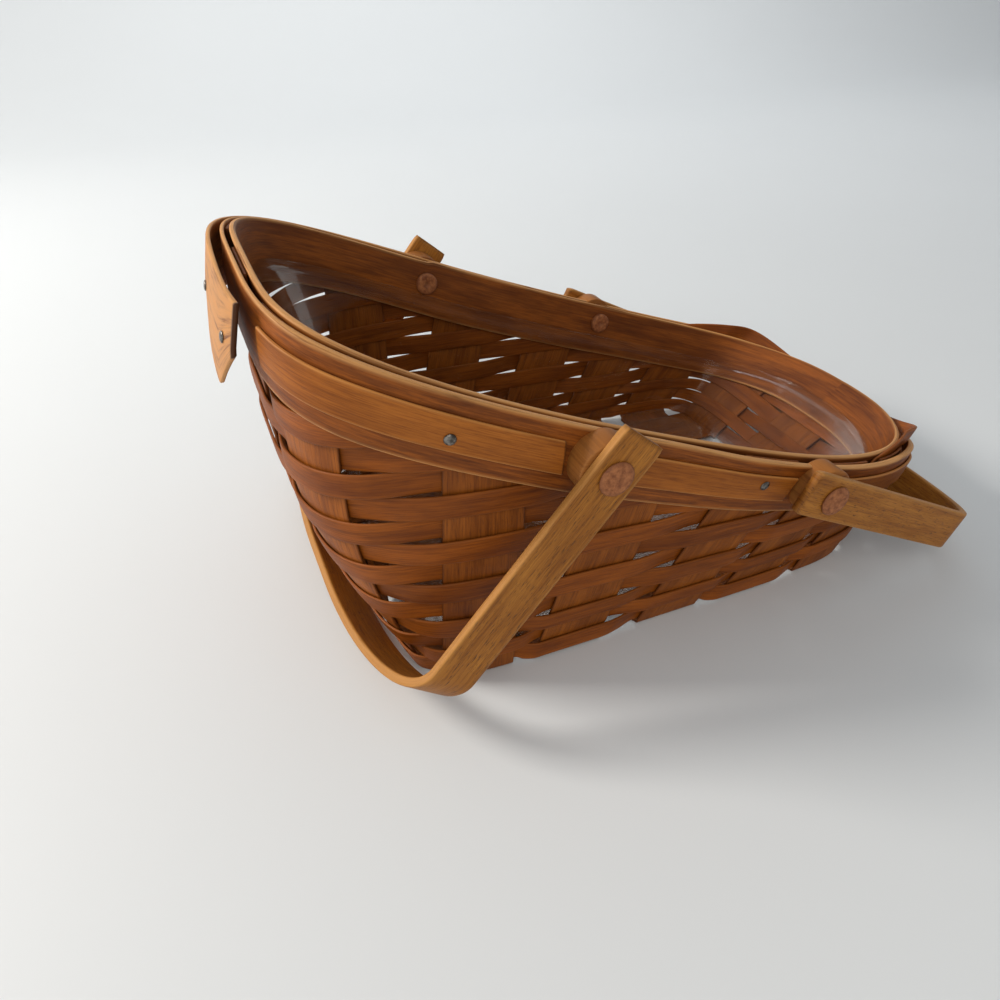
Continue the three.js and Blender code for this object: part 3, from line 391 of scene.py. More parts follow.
@dataclass(frozen=True)
class SurfaceFinish:
    """Pale matt surface with a faint cloudiness."""

    name: str = "pale_surface"
    colour: str = "dadee0"
    cloud_scale: float = 3.0
    cloud_dark: float = 0.97
    roughness: float = 0.55

    def make(self) -> bpy.types.Material:
        """Builds the material.

        Returns:
            The material.
        """
        sheet = NodeSheet(self.name)
        clouds = sheet.noise(sheet.place(), (self.cloud_scale,) * 3, NOWHERE, 3.0, 0.5)
        pale = linear(self.colour)
        darker = tuple(self.cloud_dark * part for part in pale[:3]) + (1.0,)
        tone = sheet.mix(clouds, darker, pale)
        return sheet.done(sheet.add("BsdfPrincipled", None, Base_Color=tone, Roughness=self.roughness))


def fold(w: Array) -> Array:
    """Place w as it is counted from the tall end's middle, from -1 to 1."""
    return w - 2.0 * np.round(w / 2.0)


def from_tall_end(w: Array) -> Array:
    """How far round a place lies from the tall end's middle, from 0 to 1."""
    return np.minimum(np.abs(fold(w)), 1.0)


def rising_curve(xs: Array, ys: Array, x: Array) -> Array:
    """Smooth curve through rising knots with no overshoot: cubic pieces with harmonic tangents.

    Args:
        xs: the knots' places.
        ys: their values.
        x: places at which the curve is wanted.

    Returns:
        The curve's values at x.
    """
    slopes = np.diff(ys) / np.diff(xs)
    inner = 2.0 * slopes[:-1] * slopes[1:] / (slopes[:-1] + slopes[1:])
    tangents = np.concatenate([slopes[:1], inner, slopes[-1:]])
    i = np.clip(np.searchsorted(xs, x, side="left") - 1, 0, len(xs) - 2)
    width = xs[i + 1] - xs[i]
    s = (x - xs[i]) / width
    back = 1.0 - s
    return (
        ys[i] * (1.0 + 2.0 * s) * back * back + tangents[i] * width * s * back * back
        + ys[i + 1] * s * s * (3.0 - 2.0 * s) - tangents[i + 1] * width * s * s * back
    )


@dataclass
class Oval:
    """Front half of a rounded outline, in millimetres, from the tall end's middle to the low end's.

    Its polar radius is (|cos / reach|^n + |sin / half width|^n)^(-1/n), where n is its squareness.
    """

    tall_reach: float
    low_reach: float
    width: float
    widest_at: float
    tall_squareness: float
    low_squareness: float
    count: int = 901

    def __post_init__(self) -> None:
        """Sets out the points and their lengths along the outline."""
        angle = math.pi * (1.0 + np.linspace(0.0, 1.0, self.count))
        cosine, sine = np.cos(angle), np.sin(angle)
        squareness = np.where(cosine < 0.0, self.tall_squareness, self.low_squareness)
        reach = np.where(cosine < 0.0, self.tall_reach + self.widest_at, self.low_reach - self.widest_at)
        across = np.abs(cosine / reach) ** squareness
        along = np.abs(sine / (self.width / 2.0)) ** squareness
        radius = (across + along) ** (-1.0 / squareness)
        self.points = np.stack([self.widest_at + radius * cosine, radius * sine], axis=1)
        self.points[[0, -1], 1] = 0.0
        steps = np.linalg.norm(np.diff(self.points, axis=0), axis=1)
        self.lengths = np.concatenate([[0.0], np.cumsum(steps)])

    def splint_lengths(self, shares: tuple[float, ...], tall_share: float, low_share: float) -> Array:
        """Lengths along the outline at which the splints' middles stand.

        Args:
            shares: places of the crosswise splints, as shares of the length.
            tall_share: place of the lengthwise one at the tall end, as a share of the half width.
            low_share: the same at the low end.

        Returns:
            One length for each splint, from the tall end's middle to the low end's.
        """
        x, y = self.points.T
        half = self.width / 2.0
        reach = self.tall_reach + self.low_reach
        tall_end = np.argmax(y <= -tall_share * half)
        sides = [np.argmax(x >= -self.tall_reach + share * reach) for share in shares]
        low_end = np.argmax((np.arange(self.count) > self.count / 2) & (y >= -low_share * half))
        return self.lengths[[0, tall_end, *sides, low_end, -1]]

    def at(self, length: Array) -> Array:
        """Points at lengths along the outline."""
        return np.stack([np.interp(length, self.lengths, part) for part in self.points.T], axis=-1)


@dataclass
class WallForm:
    """The wall's surface, in millimetres: a squarish foot joined to a wider rim that slopes.

    The places of the splints are shares of the way round, and at the foot and the rim shares of
    the length, or of the half width for the lengthwise ones.
    """

    foot_tall_reach: float = 131.0
    foot_low_reach: float = 124.0
    foot_width: float = 186.0
    foot_squareness: float = 9.0
    rim_tall_reach: float = 166.7
    rim_low_reach: float = 185.8
    rim_width: float = 198.7
    rim_widest_at: float = 12.0
    rim_tall_squareness: float = 4.26
    rim_low_squareness: float = 2.63
    rim_top_tall: float = 179.4
    rim_top_low: float = 51.0
    rim_sweep: float = 1.28
    low_end_curve: float = 0.45
    low_end_curve_top: float = 0.6
    upright_from: float = 0.64
    bulge_fade: tuple[float, float] = (0.16, 0.36)
    pinch_fade: tuple[float, float] = (0.37, 0.48)
    band_seat: float = 2.65
    pinched_seat: float = 1.05
    inner_band_face: float = 5.25
    cross_foot_places: tuple[float, ...] = (0.095, 0.273, 0.5, 0.687, 0.885)
    cross_rim_places: tuple[float, ...] = (0.178, 0.381, 0.568, 0.725, 0.845)
    cross_places: tuple[float, ...] = (0.25, 0.37, 0.5, 0.62, 0.75)
    long_tall_place: float = 0.12
    long_low_place: float = 0.88
    long_foot_place: float = 0.64
    long_tall_rim_place: float = 0.62
    long_low_rim_place: float = 0.56
    place_step: float = 0.004
    height_step: float = 0.01
    levels: int = 16

    def __post_init__(self) -> None:
        """Works out the foot, rim and height at close places, and the lengths up the slant."""
        foot = Oval(
            self.foot_tall_reach, self.foot_low_reach, self.foot_width,
            (self.foot_low_reach - self.foot_tall_reach) / 2.0, self.foot_squareness, self.foot_squareness,
        )
        rim = Oval(
            self.rim_tall_reach, self.rim_low_reach, self.rim_width,
            self.rim_widest_at, self.rim_tall_squareness, self.rim_low_squareness,
        )
        self.places = np.array([0.0, self.long_tall_place, *self.cross_places, self.long_low_place, 1.0])
        foot_knots = foot.splint_lengths(self.cross_foot_places, self.long_foot_place, self.long_foot_place)
        rim_knots = rim.splint_lengths(
            self.cross_rim_places, self.long_tall_rim_place, self.long_low_rim_place,
        )
        self.u = np.linspace(0.0, 1.0, CLOSE_PLACES)
        self.foot = foot.at(rising_curve(self.places, foot_knots, self.u))
        lengths = rising_curve(self.places, rim_knots, self.u)
        edge = rim.at(lengths)
        along = rim.at(np.minimum(lengths + 1.0, rim.lengths[-1]))
        along -= rim.at(np.maximum(lengths - 1.0, 0.0))
        along /= np.linalg.norm(along, axis=1, keepdims=True)
        out = np.stack([along[:, 1], -along[:, 0]], axis=1)
        share = (edge[:, 0] + self.rim_tall_reach) / (self.rim_tall_reach + self.rim_low_reach)
        drop = np.maximum(1.0 - share, 0.0) ** self.rim_sweep
        height = self.rim_top_low + (self.rim_top_tall - self.rim_top_low) * drop
        slope = (1.0 - self.bulge_share(self.u)) * np.sum((edge - self.foot) * out, axis=1)
        lean = np.arctan2(slope, height)
        offset = self.inner_band_face - self.pinch_share(self.u) * (self.band_seat - self.pinched_seat)
        self.rim = edge + out * (offset * np.cos(lean))[:, None]
        self.height = height - offset * np.sin(lean)
        grid = np.meshgrid(self.u, np.linspace(0.0, 1.0, self.levels + 1), indexing="ij")
        steps = np.linalg.norm(np.diff(self.middle(*grid), axis=1), axis=2)
        self.rises = np.concatenate([np.zeros((CLOSE_PLACES, 1)), np.cumsum(steps, axis=1)], axis=1)

    def bulge_share(self, u: Array) -> Array:
        """How much of the tall end's bulge a place has, 1 at the end and 0 along the sides."""
        near, far = self.bulge_fade
        return 1.0 - smooth((u - near) / (far - near))

    def pinch_share(self, u: Array) -> Array:
        """How far the bands close on the splints above the weave, 1 at the end and 0 beyond."""
        near, far = self.pinch_fade
        return 1.0 - smooth((u - near) / (far - near))

    def middle(self, w: Array, t: Array) -> Array:
        """Points on the wall's middle: foot + (rim - foot) times a lean share, at height times t.

        The share is the even one, which starts steeper at the low end, mixed with the bulging
        sin(pi / 2 * t / upright_from) of the tall end.

        Args:
            w: places round the basket.
            t: shares of the height.

        Returns:
            The points, with x, y and z last.
        """
        u = from_tall_end(w)
        lowness = smooth((u - self.cross_places[3]) / (1.0 - self.cross_places[3]))
        upright = np.maximum(1.0 - t / self.low_end_curve_top, 0.0) ** 2
        even = np.maximum(t, 0.0) * (1.0 - self.low_end_curve * lowness * upright)
        bulged = np.sin(QUARTER * np.clip(t / self.upright_from, 0.0, 1.0))
        lean = even + (bulged - even) * self.bulge_share(u)
        foot_x, foot_y = (np.interp(u, self.u, self.foot[:, k]) for k in (0, 1))
        rim_x, rim_y = (np.interp(u, self.u, self.rim[:, k]) for k in (0, 1))
        side = np.where(fold(w) < 0.0, -1.0, 1.0)
        x = foot_x + (rim_x - foot_x) * lean
        y = (foot_y + (rim_y - foot_y) * lean) * side
        return np.stack([x, y, np.interp(u, self.u, self.height) * t], axis=-1)

    def point(self, w: Array, t: Array, offset: Array) -> Array:
        """Points off the wall's middle: middle + offset times the surface's unit normal.

        Args:
            w: places round the basket.
            t: shares of the height.
            offset: distances outwards.

        Returns:
            The points, with x, y and z last.
        """
        w, t, offset = np.broadcast_arrays(w, t, offset)
        along = self.middle(w + self.place_step, t) - self.middle(w - self.place_step, t)
        below = np.maximum(t - self.height_step, 0.0)
        up = self.middle(w, t + self.height_step) - self.middle(w, below)
        normal = np.cross(along, up)
        normal /= np.linalg.norm(normal, axis=-1, keepdims=True)
        return self.middle(w, t) + normal * offset[..., None]

    def full_rise(self, w: Array) -> Array:
        """Length up the wall's slant from the floor to the rim, at places w."""
        return np.interp(from_tall_end(w), self.u, self.rises[:, -1])

    def share_at_rise(self, w: Array, rise: Array) -> Array:
        """Share of the height at a length up the slant, by straight pieces between known levels."""
        w, rise = np.broadcast_arrays(np.asarray(w, float), np.asarray(rise, float))
        u = from_tall_end(w)
        known = np.stack([np.interp(u, self.u, rise_at) for rise_at in self.rises.T], axis=-1)
        i = np.sum(known[..., 1:-1] < rise[..., None], axis=-1)
        low = np.take_along_axis(known, i[..., None], axis=-1)[..., 0]
        high = np.take_along_axis(known, i[..., None] + 1, axis=-1)[..., 0]
        return (i + (rise - low) / (high - low)) / self.levels

    def share_below_rim(self, w: Array, drop: Array) -> Array:
        """Share of the height at a length down the slant from the rim."""
        return self.share_at_rise(w, self.full_rise(w) - drop)

    def places_for(self, distance: float, w: Array, t: Array) -> Array:
        """Places that a distance along the wall spans at place w and share t."""
        w, t = np.broadcast_arrays(np.asarray(w, float), np.asarray(t, float))
        step = self.middle(w + self.place_step, t) - self.middle(w - self.place_step, t)
        return distance * 2.0 * self.place_step / np.linalg.norm(step, axis=-1)


@dataclass(frozen=True)
class Section:
    """Cross-section of a flat strip with eased edges, as a loop of points.

    across runs from 0 to 1 over the strip's width, depth from -1 on the inner face to 1 on the
    outer one, and edge is 1 on the narrow sides. Point j lies opposite point count - 1 - j.
    """

    across: Array
    depth: Array
    edge: Array

    @classmethod
    def of(cls, width: float, thickness: float, ease: float, inner_points: int) -> "Section":
        """Makes the loop: one face up, with an eased edge at both ends, and the other face down.

        Args:
            width: the strip's width.
            thickness: its thickness.
            ease: size of the rounding at its edges.
            inner_points: number of points over each flat face.

        Returns:
            The section.
        """
        s = ease / width
        drop = 1.0 - min(2.0 * ease / thickness, 1.0)
        flat = np.linspace(FACE_FROM * s, 1.0 - FACE_FROM * s, inner_points)
        corner = np.array(EASE_PLACES) * s
        across = np.concatenate([corner, flat, 1.0 - corner[::-1]])
        rounded = drop + (1.0 - drop) * EASE_HEIGHT
        low = max(drop, SIDE_DEPTH)
        depth = np.concatenate([[low, rounded], np.ones(inner_points + 2), [rounded, low]])
        edge = np.concatenate([EASE_WEAR_AND_SHADE, np.zeros(inner_points), EASE_WEAR_AND_SHADE[::-1]])
        return cls(
            np.concatenate([across, across[::-1]]),
            np.concatenate([-depth, depth[::-1]]),
            np.concatenate([edge, edge[::-1]]),
        )


class Ends(Enum):
    """How a strip's two ends are closed."""

    JOINED = "joined"
    CUT = "cut"


def rings_of_quads(rings: int, points: int, joined: bool = False) -> Array:
    """Numbers of the corners of all quads between neighbouring rings of points.

    Args:
        rings: number of rings.
        points: number of points in each ring.
        joined: whether the last ring joins the first.

    Returns:
        Ring by point by the four corners.
    """
    i, j = np.meshgrid(np.arange(rings if joined else rings - 1), np.arange(points), indexing="ij")
    here, there = i * points, (i + 1) % rings * points
    k = (j + 1) % points
    return np.stack([here + j, here + k, there + k, there + j], axis=-1)


def put_mesh(
    name: str, vertices: Array, faces: list, uv: Array,
    edge: Array | None = None, shade: Array | None = None,
) -> Piece:
    """Makes a piece from points in millimetres.

    Args:
        name: the piece's name.
        vertices: points in millimetres, one row each.
        faces: lists of point numbers.
        uv: one pair in metres for each corner of each face.
        edge: how much each point takes the edge tint, 0 to 1, and 0 if not given: wear, with painted shade
            on the splints' edges and the rivets' rims and painted light on the outer band's lapping end.
        shade: how much each point is darkened, 0 to 1, and 0 if not given.

    Returns:
        The piece, at the origin, with faces pointing out.
    """
    mesh = bpy.data.meshes.new(name)
    mesh.from_pydata((vertices * MM).tolist(), [], faces)
    mesh.polygons.foreach_set("use_smooth", np.ones(len(mesh.polygons), bool))
    layer = mesh.uv_layers.new(name="strip")
    layer.data.foreach_set("uv", np.ascontiguousarray(uv, np.float32).ravel())
    for label, values in (("edge", edge), ("shade", shade)):
        attribute = mesh.attributes.new(label, "FLOAT", "POINT")
        values = np.zeros(len(vertices)) if values is None else values
        attribute.data.foreach_set("value", np.ascontiguousarray(values, np.float32))
    mesh.update()
    mesh.validate()
    piece = bpy.data.objects.new(name, mesh)
    bpy.context.scene.collection.objects.link(piece)
    return piece


def strip(
    name: str, points: Array, section: Section, ends: Ends,
    shade: Array | None = None, pale: Array | None = None, flip: bool = False,
) -> Piece:
    """Makes a piece from a grid of points: a row for each station along, a column round the section.

    Args:
        name: the piece's name.
        points: stations by section points by x, y, z, in millimetres.
        section: the strip's section.
        ends: whether the last station joins the first.
        shade: darkening at each station, 0 to 1.
        pale: painted light: how far each station is lightened towards the colour of the edges.
        flip: turns every face round.

    Returns:
        The piece.
    """
    count, girth_count = points.shape[:2]
    half = girth_count // 2
    centre = points.mean(axis=1)
    steps = np.linalg.norm(np.diff(centre, axis=0, append=centre[:1]), axis=1)
    along = np.concatenate([[0.0], np.cumsum(steps)]) * MM
    middle = points[count // 2]
    girth = np.linalg.norm(np.diff(middle, axis=0, append=middle[:1]), axis=1)
    face_across = np.concatenate([[0.0], np.cumsum(girth)])[:half] * MM
    across = np.concatenate([face_across, face_across[::-1] + BACK_GRAIN_SHIFT])
    quads = rings_of_quads(count, girth_count, ends is Ends.JOINED)
    faces = quads.reshape(-1, 4)
    u = along[np.arange(len(quads))[:, None, None] + np.array([0, 0, 1, 1])]
    v = across[(np.arange(girth_count)[:, None] + np.array([0, 1, 1, 0])) % girth_count]
    uv = np.stack(np.broadcast_arrays(u, v), axis=-1).reshape(-1, 4, 2)
    if ends is Ends.CUT:
        a = np.arange(half - 1)
        mate = girth_count - 1 - a
        start = np.stack([a, mate, mate - 1, a + 1], axis=-1)
        end = np.stack([a, a + 1, mate - 1, mate], axis=-1) + (count - 1) * girth_count
        caps = np.concatenate([start, end])
        faces = np.concatenate([faces, caps])
        uv = np.concatenate([uv, points.reshape(-1, 3)[caps][..., 1:] * MM])
    if flip:
        faces, uv = faces[:, ::-1], uv[:, ::-1]
    edge = np.tile(section.edge, (count, 1))
    # Painted light at a station is carried in the edge tint.
    if pale is not None:
        edge = np.maximum(edge, pale[:, None])
    shades = None if shade is None else np.repeat(shade, girth_count)
    vertices = points.reshape(-1, 3)
    return put_mesh(name, vertices, faces.tolist(), uv.reshape(-1, 2), edge.ravel(), shades)


def lathe(
    name: str, profile: Array, origin: Array, axis: Array, sides: int, edge: Array, waver: float,
) -> Piece:
    """Makes a turned piece: ring k has radius r(k) at the distance a(k) along the axis.

    Args:
        name: the piece's name.
        profile: distances along the axis and radii, starting and ending with radius 0.
        origin: a point on the axis, in millimetres.
        axis: vector along it.
        sides: points round each ring.
        edge: share of the edge tint for each row of the profile: wear on the washers, painted shade on the
            rivets.
        waver: how far the rings are out of round, as a share of their radius.

    Returns:
        The piece, closed at both poles.
    """
    axis = axis / np.linalg.norm(axis)
    side = np.cross(axis, (0.0, 0.0, 1.0))
    side /= np.linalg.norm(side)
    other = np.cross(axis, side)
    turn = np.linspace(0.0, TURN, sides, endpoint=False)
    waves = [share * np.sin(times * turn + phase) for times, phase, share in OUT_OF_ROUND]
    spread = 1.0 + waver * sum(waves)
    spokes = np.cos(turn)[:, None] * side + np.sin(turn)[:, None] * other
    rings = profile[1:-1, :, None, None]
    grid = origin + rings[:, 0] * axis + rings[:, 1] * spread[:, None] * spokes
    poles = origin + profile[[0, -1], 0, None] * axis
    vertices = np.concatenate([grid.reshape(-1, 3), poles])
    quads = rings_of_quads(len(rings), sides)
    j = np.arange(sides)
    k = (j + 1) % sides
    start, end = len(vertices) - 2, len(vertices) - 1
    last = start - sides
    first_fan = np.stack([np.full(sides, start), k, j], axis=-1)
    last_fan = np.stack([np.full(sides, end), last + j, last + k], axis=-1)
    faces = quads.reshape(-1, 4).tolist() + first_fan.tolist() + last_fan.tolist()
    corners = np.concatenate([quads.ravel(), first_fan.ravel(), last_fan.ravel()])
    away = vertices - origin
    uv = np.stack([away @ side, away @ other], axis=-1) * MM
    edges = np.concatenate([np.repeat(edge[1:-1], sides), edge[[0, -1]]])
    return put_mesh(name, vertices, faces, uv[corners], edges)


def settle(piece: Piece, body: str, material: bpy.types.Material, nodes: list[str]) -> None:
    """Gives a piece its finish, its body and the nodes that it stands for.

    Args:
        piece: the new piece.
        body: the body that it rides on.
        material: its finish.
        nodes: the solids that it replaces.
    """
    piece.data.materials.append(material)
    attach(piece, body)
    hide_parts(*nodes)
    log.info("%s: %d faces", piece.name, len(piece.data.polygons))


@dataclass
class Weave:
    """Layout of the weave: where the splints stand and which side each row passes."""

    wall: WallForm
    splint_width: float = 35.0
    splint_thickness: float = 1.2
    weaver_thickness: float = 1.2
    weave_clearance: float = 0.4
    clearance: float = 0.3
    row_gap: float = 0.9
    low_rows: int = 3
    low_row_pitch: float = 9.3
    top_row_drop: float = 30.2
    bend_radius: float = 2.4
    rows: int = 14
    first_row_rise: float = 3.6

    def __post_init__(self) -> None:
        """Finds the layers of the wall and the rows' pitch, which fills the height of the tall end."""
        self.weaver_offset = (self.splint_thickness + self.weaver_thickness) / 2 + self.weave_clearance
        upper = float(self.wall.full_rise(np.array(0.0))) - self.top_row_drop - self.first_row_rise
        upper -= self.low_rows * self.low_row_pitch
        self.row_pitch = (upper + self.row_gap) / (self.rows - self.low_rows)
        self.floor_low = self.splint_thickness / 2
        self.floor_high = self.floor_low + self.splint_thickness + self.clearance

    def row_bottom(self, row: int) -> float:
        """Length up the slant to a row's lower edge."""
        low = min(row - 1, self.low_rows)
        return self.first_row_rise + low * self.low_row_pitch + (row - 1 - low) * self.row_pitch

    def row_top(self, row: int) -> float:
        """Length up the slant to a row's upper edge."""
        return self.row_bottom(row + 1) - self.row_gap

    def row_middle(self, row: int) -> float:
        """Length up the slant to a row's middle."""
        return (self.row_bottom(row) + self.row_top(row)) / 2.0

    def place_of(self, number: int) -> float:
        """Place of a splint, numbered from 0 at the tall end to 8 at the low end, negative at the back."""
        return math.copysign(self.wall.places[abs(number)], number) if number else 0.0

    def side_of(self, row: int, number: int) -> float:
        """Side of a splint that a row passes on: 1 outside, -1 inside."""
        return 1.0 if (row + abs(number)) % 2 == 0 else -1.0

    def side_along(self, row: int, w: Array) -> Array:
        """Side of the splints that a row runs on at each place, from -1 inside to 1 outside.

        It is held over each splint's width and eased between neighbours as v (3 - v squared) / 2.
        """
        numbers = range(-7, 9)
        centres = np.array([self.place_of(n) for n in numbers])
        t = self.wall.share_at_rise(centres, self.row_middle(row))
        reach = self.wall.places_for(self.splint_width / 2.0, centres, t)
        sides = np.repeat([self.side_of(row, n) for n in numbers], 2)
        knots = np.stack([centres - reach, centres + reach], axis=1).ravel()
        plain = np.interp(w, np.concatenate([knots - 2.0, knots, knots + 2.0]), np.tile(sides, 3))
        return plain * (3.0 - plain * plain) / 2.0


@dataclass
class Weavers:
    """The rows that run round the basket, in and out of the splints."""

    weave: Weave
    stations: int = 560
    top_drop: float = 3.0
    pinched_top_drop: float = 16.5
    edge_waver: float = 0.18
    swell: float = 0.25
    foot_drop: float = 1.6
    bottom_wave: float = 0.5
    top_wave: float = 0.4
    top_seeds: int = 40
    ease: float = 0.45
    cup: float = 0.18

    def row_end(self, row: int) -> float:
        """Place at which a row runs out under the sloping rim, or 1 if it goes right round."""
        u = np.linspace(0.0, 1.0, CLOSE_PLACES)
        wall = self.weave.wall
        drop = self.top_drop + (self.pinched_top_drop - self.top_drop) * wall.pinch_share(u)
        reached = self.weave.row_top(row) <= wall.full_rise(u) - drop
        return 1.0 if reached[-1] else float(u[np.argmin(reached)])

    def build(self, row: int) -> Piece:
        """Lays one row on the wall: W(w, share at rise, side of the splints + depth).

        Args:
            row: the row's number, from 1 at the floor.

        Returns:
            The row.
        """
        weave = self.weave
        end = self.row_end(row)
        whole = end >= 1.0
        count = self.stations if whole else int(self.stations * end) + 2
        w = np.linspace(-end, end, count, endpoint=not whole)
        bottom_waver = self.edge_waver * wobble(w, self.bottom_wave, row)
        top_waver = self.edge_waver * wobble(w, self.top_wave, row + self.top_seeds)
        bottom = weave.row_bottom(row) - self.swell + bottom_waver
        top = weave.row_top(row) + self.swell + top_waver
        side = weave.side_along(row, w)
        if row == 1:
            bottom -= self.foot_drop * smooth(1.0 + side)
        side = side[:, None]
        section = Section.of(weave.row_pitch, weave.weaver_thickness, self.ease, 6)
        rise = bottom[:, None] + (top - bottom)[:, None] * section.across
        cup = self.cup * (1.0 - (2.0 * section.across - 1.0) ** 2)
        offset = side * weave.weaver_offset + cup * side + section.depth * weave.weaver_thickness / 2.0
        t = weave.wall.share_at_rise(w[:, None], rise)
        points = weave.wall.point(w[:, None], t, offset)
        return strip(f"row_{row:02d}", points, section, Ends.JOINED if whole else Ends.CUT)

    def dress(self) -> None:
        """Builds every row and gives each its own cut of wood."""
        tones = np.random.default_rng(7).uniform(0.9, 1.08, self.weave.rows + 1)
        for row in range(1, self.weave.rows + 1):
            finish = WoodFinish(
                f"weaver_wood_{row:02d}", dark="602d03", middle="884308", light="a15814",
                edge="8c5220", tone=float(tones[row]), seed=row, flecks=0.2, edge_share=0.4,
            )
            settle(self.build(row), BASKET, finish.make(), [f"weaver_row_{row:02d}"])


@dataclass
class SplintRun:
    """One splint: the two walls that it climbs, and its line and crossings on the floor.

    A crossing is a distance along the floor, and whether the splint is the upper one there.
    """

    name: str
    node: str
    start: int
    end: int
    middle: float
    crosswise: bool
    crossings: list[tuple[float, bool]]


@dataclass
class Splints:
    """The upright strips, which cross one another over the floor."""

    weave: Weave
    top_drop: float = 1.5
    crossing_margin: float = 1.2
    sway: float = 0.28
    sway_fade: float = 0.05
    ease: float = 0.45
    bend_gap: float = 0.5
    wall_stations: int = 110
    rise_stations: int = 400
    bend_stations: int = 7
    floor_stations: int = 150

    def runs(self) -> list[SplintRun]:
        """Lists the five crosswise and three lengthwise splints.

        Returns:
            The runs, from the tall end, and then from the front.
        """
        wall, weave = self.weave.wall, self.weave
        length = wall.foot_tall_reach + wall.foot_low_reach
        cross = [-wall.foot_tall_reach + share * length for share in wall.cross_foot_places]
        long = [side * wall.long_foot_place * wall.foot_width / 2.0 for side in (-1, 0, 1)]
        tall_numbers, low_numbers = (1, 0, -1), (7, 8, -7)
        runs = []
        for i, x in enumerate(cross, start=1):
            name, start = f"_{i}", i + 1
            upper = [(y, weave.side_of(i, n) < 0.0) for y, n in zip(long, tall_numbers)]
            runs.append(SplintRun("cross" + name, "cross_splint" + name, start, -start, x, True, upper))
        for y, n, end, side in zip(long, tall_numbers, low_numbers, ("front", "middle", "back")):
            upper = [(x, weave.side_of(i, n) > 0.0) for i, x in enumerate(cross, start=1)]
            runs.append(SplintRun(f"long_{side}", f"long_splint_{side}", n, end, y, False, upper))
        return runs

    def wall_part(self, number: int, mirror: float, level: float, section: Section) -> Array:
        """Points up one wall: W(place +- reach, t, sway + depth), from the bend to the rim."""
        weave, wall = self.weave, self.weave.wall
        place = weave.place_of(number)
        low = (level + weave.bend_radius) / wall.middle(np.array(place), np.array(1.0))[2]
        high = float(wall.share_below_rim(place, self.top_drop))
        t = np.linspace(low, high, self.wall_stations)
        reach = wall.places_for(weave.splint_width / 2.0, np.full_like(t, place), t)
        rise = np.linspace(0.0, float(wall.full_rise(place)), self.rise_stations)
        share = wall.share_at_rise(np.full_like(rise, place), rise)
        rows = range(1, weave.rows + 1)
        middles = [weave.row_middle(row) for row in rows]
        pushed = [-weave.side_of(row, number) for row in rows]
        sway = np.interp(np.interp(t, share, rise), middles, pushed)
        sway = sway * self.sway * smooth((t - low) / self.sway_fade)
        w = place + mirror * (2.0 * section.across - 1.0) * reach[:, None]
        offset = sway[:, None] + section.depth * weave.splint_thickness / 2.0
        return wall.point(w, t[:, None], offset)

    def bend_part(self, foot: Array, inward: Array, level: float, section: Section) -> Array:
        """Points round a bend: centre + inward (R - r cos a), at height level + R - r sin a."""
        weave = self.weave
        centre = (foot + foot[::-1]) / 2.0
        angle = np.linspace(0.0, QUARTER, self.bend_stations + 1)[1:, None]
        radius = weave.bend_radius + section.depth * weave.splint_thickness / 2.0
        moved = centre + inward * (weave.bend_radius - radius * np.cos(angle))[..., None]
        moved[..., 2] = level + weave.bend_radius - radius * np.sin(angle)
        return moved

    def floor_part(self, run: SplintRun, start: float, end: float, section: Section) -> Array:
        """Points across the floor, low or high at each crossing and eased between them."""
        weave = self.weave
        reach = weave.splint_width / 2.0 + self.crossing_margin
        knots = np.array([at + side * reach for at, _ in run.crossings for side in (-1, 1)])
        high = np.array([float(upper) for _, upper in run.crossings for _ in (0, 1)])
        along = np.linspace(start, end, self.floor_stations)
        plain = np.interp(along, knots, high)
        level = weave.floor_low + (weave.floor_high - weave.floor_low) * smooth(plain)
        column = (2.0 * section.across - 1.0) * weave.splint_width / 2.0
        z = level[:, None] - section.depth * weave.splint_thickness / 2.0
        if run.crosswise:
            parts = (run.middle + column, along[:, None], z)
        else:
            parts = (along[:, None], run.middle - column, z)
        return np.stack(np.broadcast_arrays(*parts), axis=-1)

    def build(self, run: SplintRun) -> Piece:
        """Makes one splint: down a wall, round a bend, over the floor, and up the other wall.

        Args:
            run: the splint's walls and crossings.

        Returns:
            The splint.
        """
        weave = self.weave
        section = Section.of(weave.splint_width, weave.splint_thickness, self.ease, 11)
        axis = 1 if run.crosswise else 0
        inward = np.eye(3)[axis]
        raised = run.crossings[0][1] and not run.crosswise
        level = weave.floor_high if raised else weave.floor_low
        first = self.wall_part(run.start, 1.0, level, section)
        last = self.wall_part(run.end, -1.0, weave.floor_low, section)
        first_bend = self.bend_part(first[0], inward, level, section)
        last_bend = self.bend_part(last[0], -inward, weave.floor_low, section)
        start = first_bend[-1, :, axis].mean() + self.bend_gap
        end = last_bend[-1, :, axis].mean() - self.bend_gap
        floor = self.floor_part(run, start, end, section)
        points = np.concatenate([first[::-1], first_bend, floor, last_bend[::-1], last])
        return strip(run.name, points, section, Ends.CUT)

    def dress(self) -> None:
        """Builds every splint and gives each its own cut of wood."""
        for number, run in enumerate(self.runs()):
            # The splints' edge colour is dark: painted shade along their edges, where the weavers pass over
            # them.
            finish = WoodFinish(
                f"splint_wood_{number + 1}", dark="66320a", middle="8f4c10", light="a45e1d",
                edge="4a2408", tone=0.94 + 0.04 * (number % 3), seed=31 + number, flecks=0.3,
            )
            settle(self.build(run), BASKET, finish.make(), [run.node])


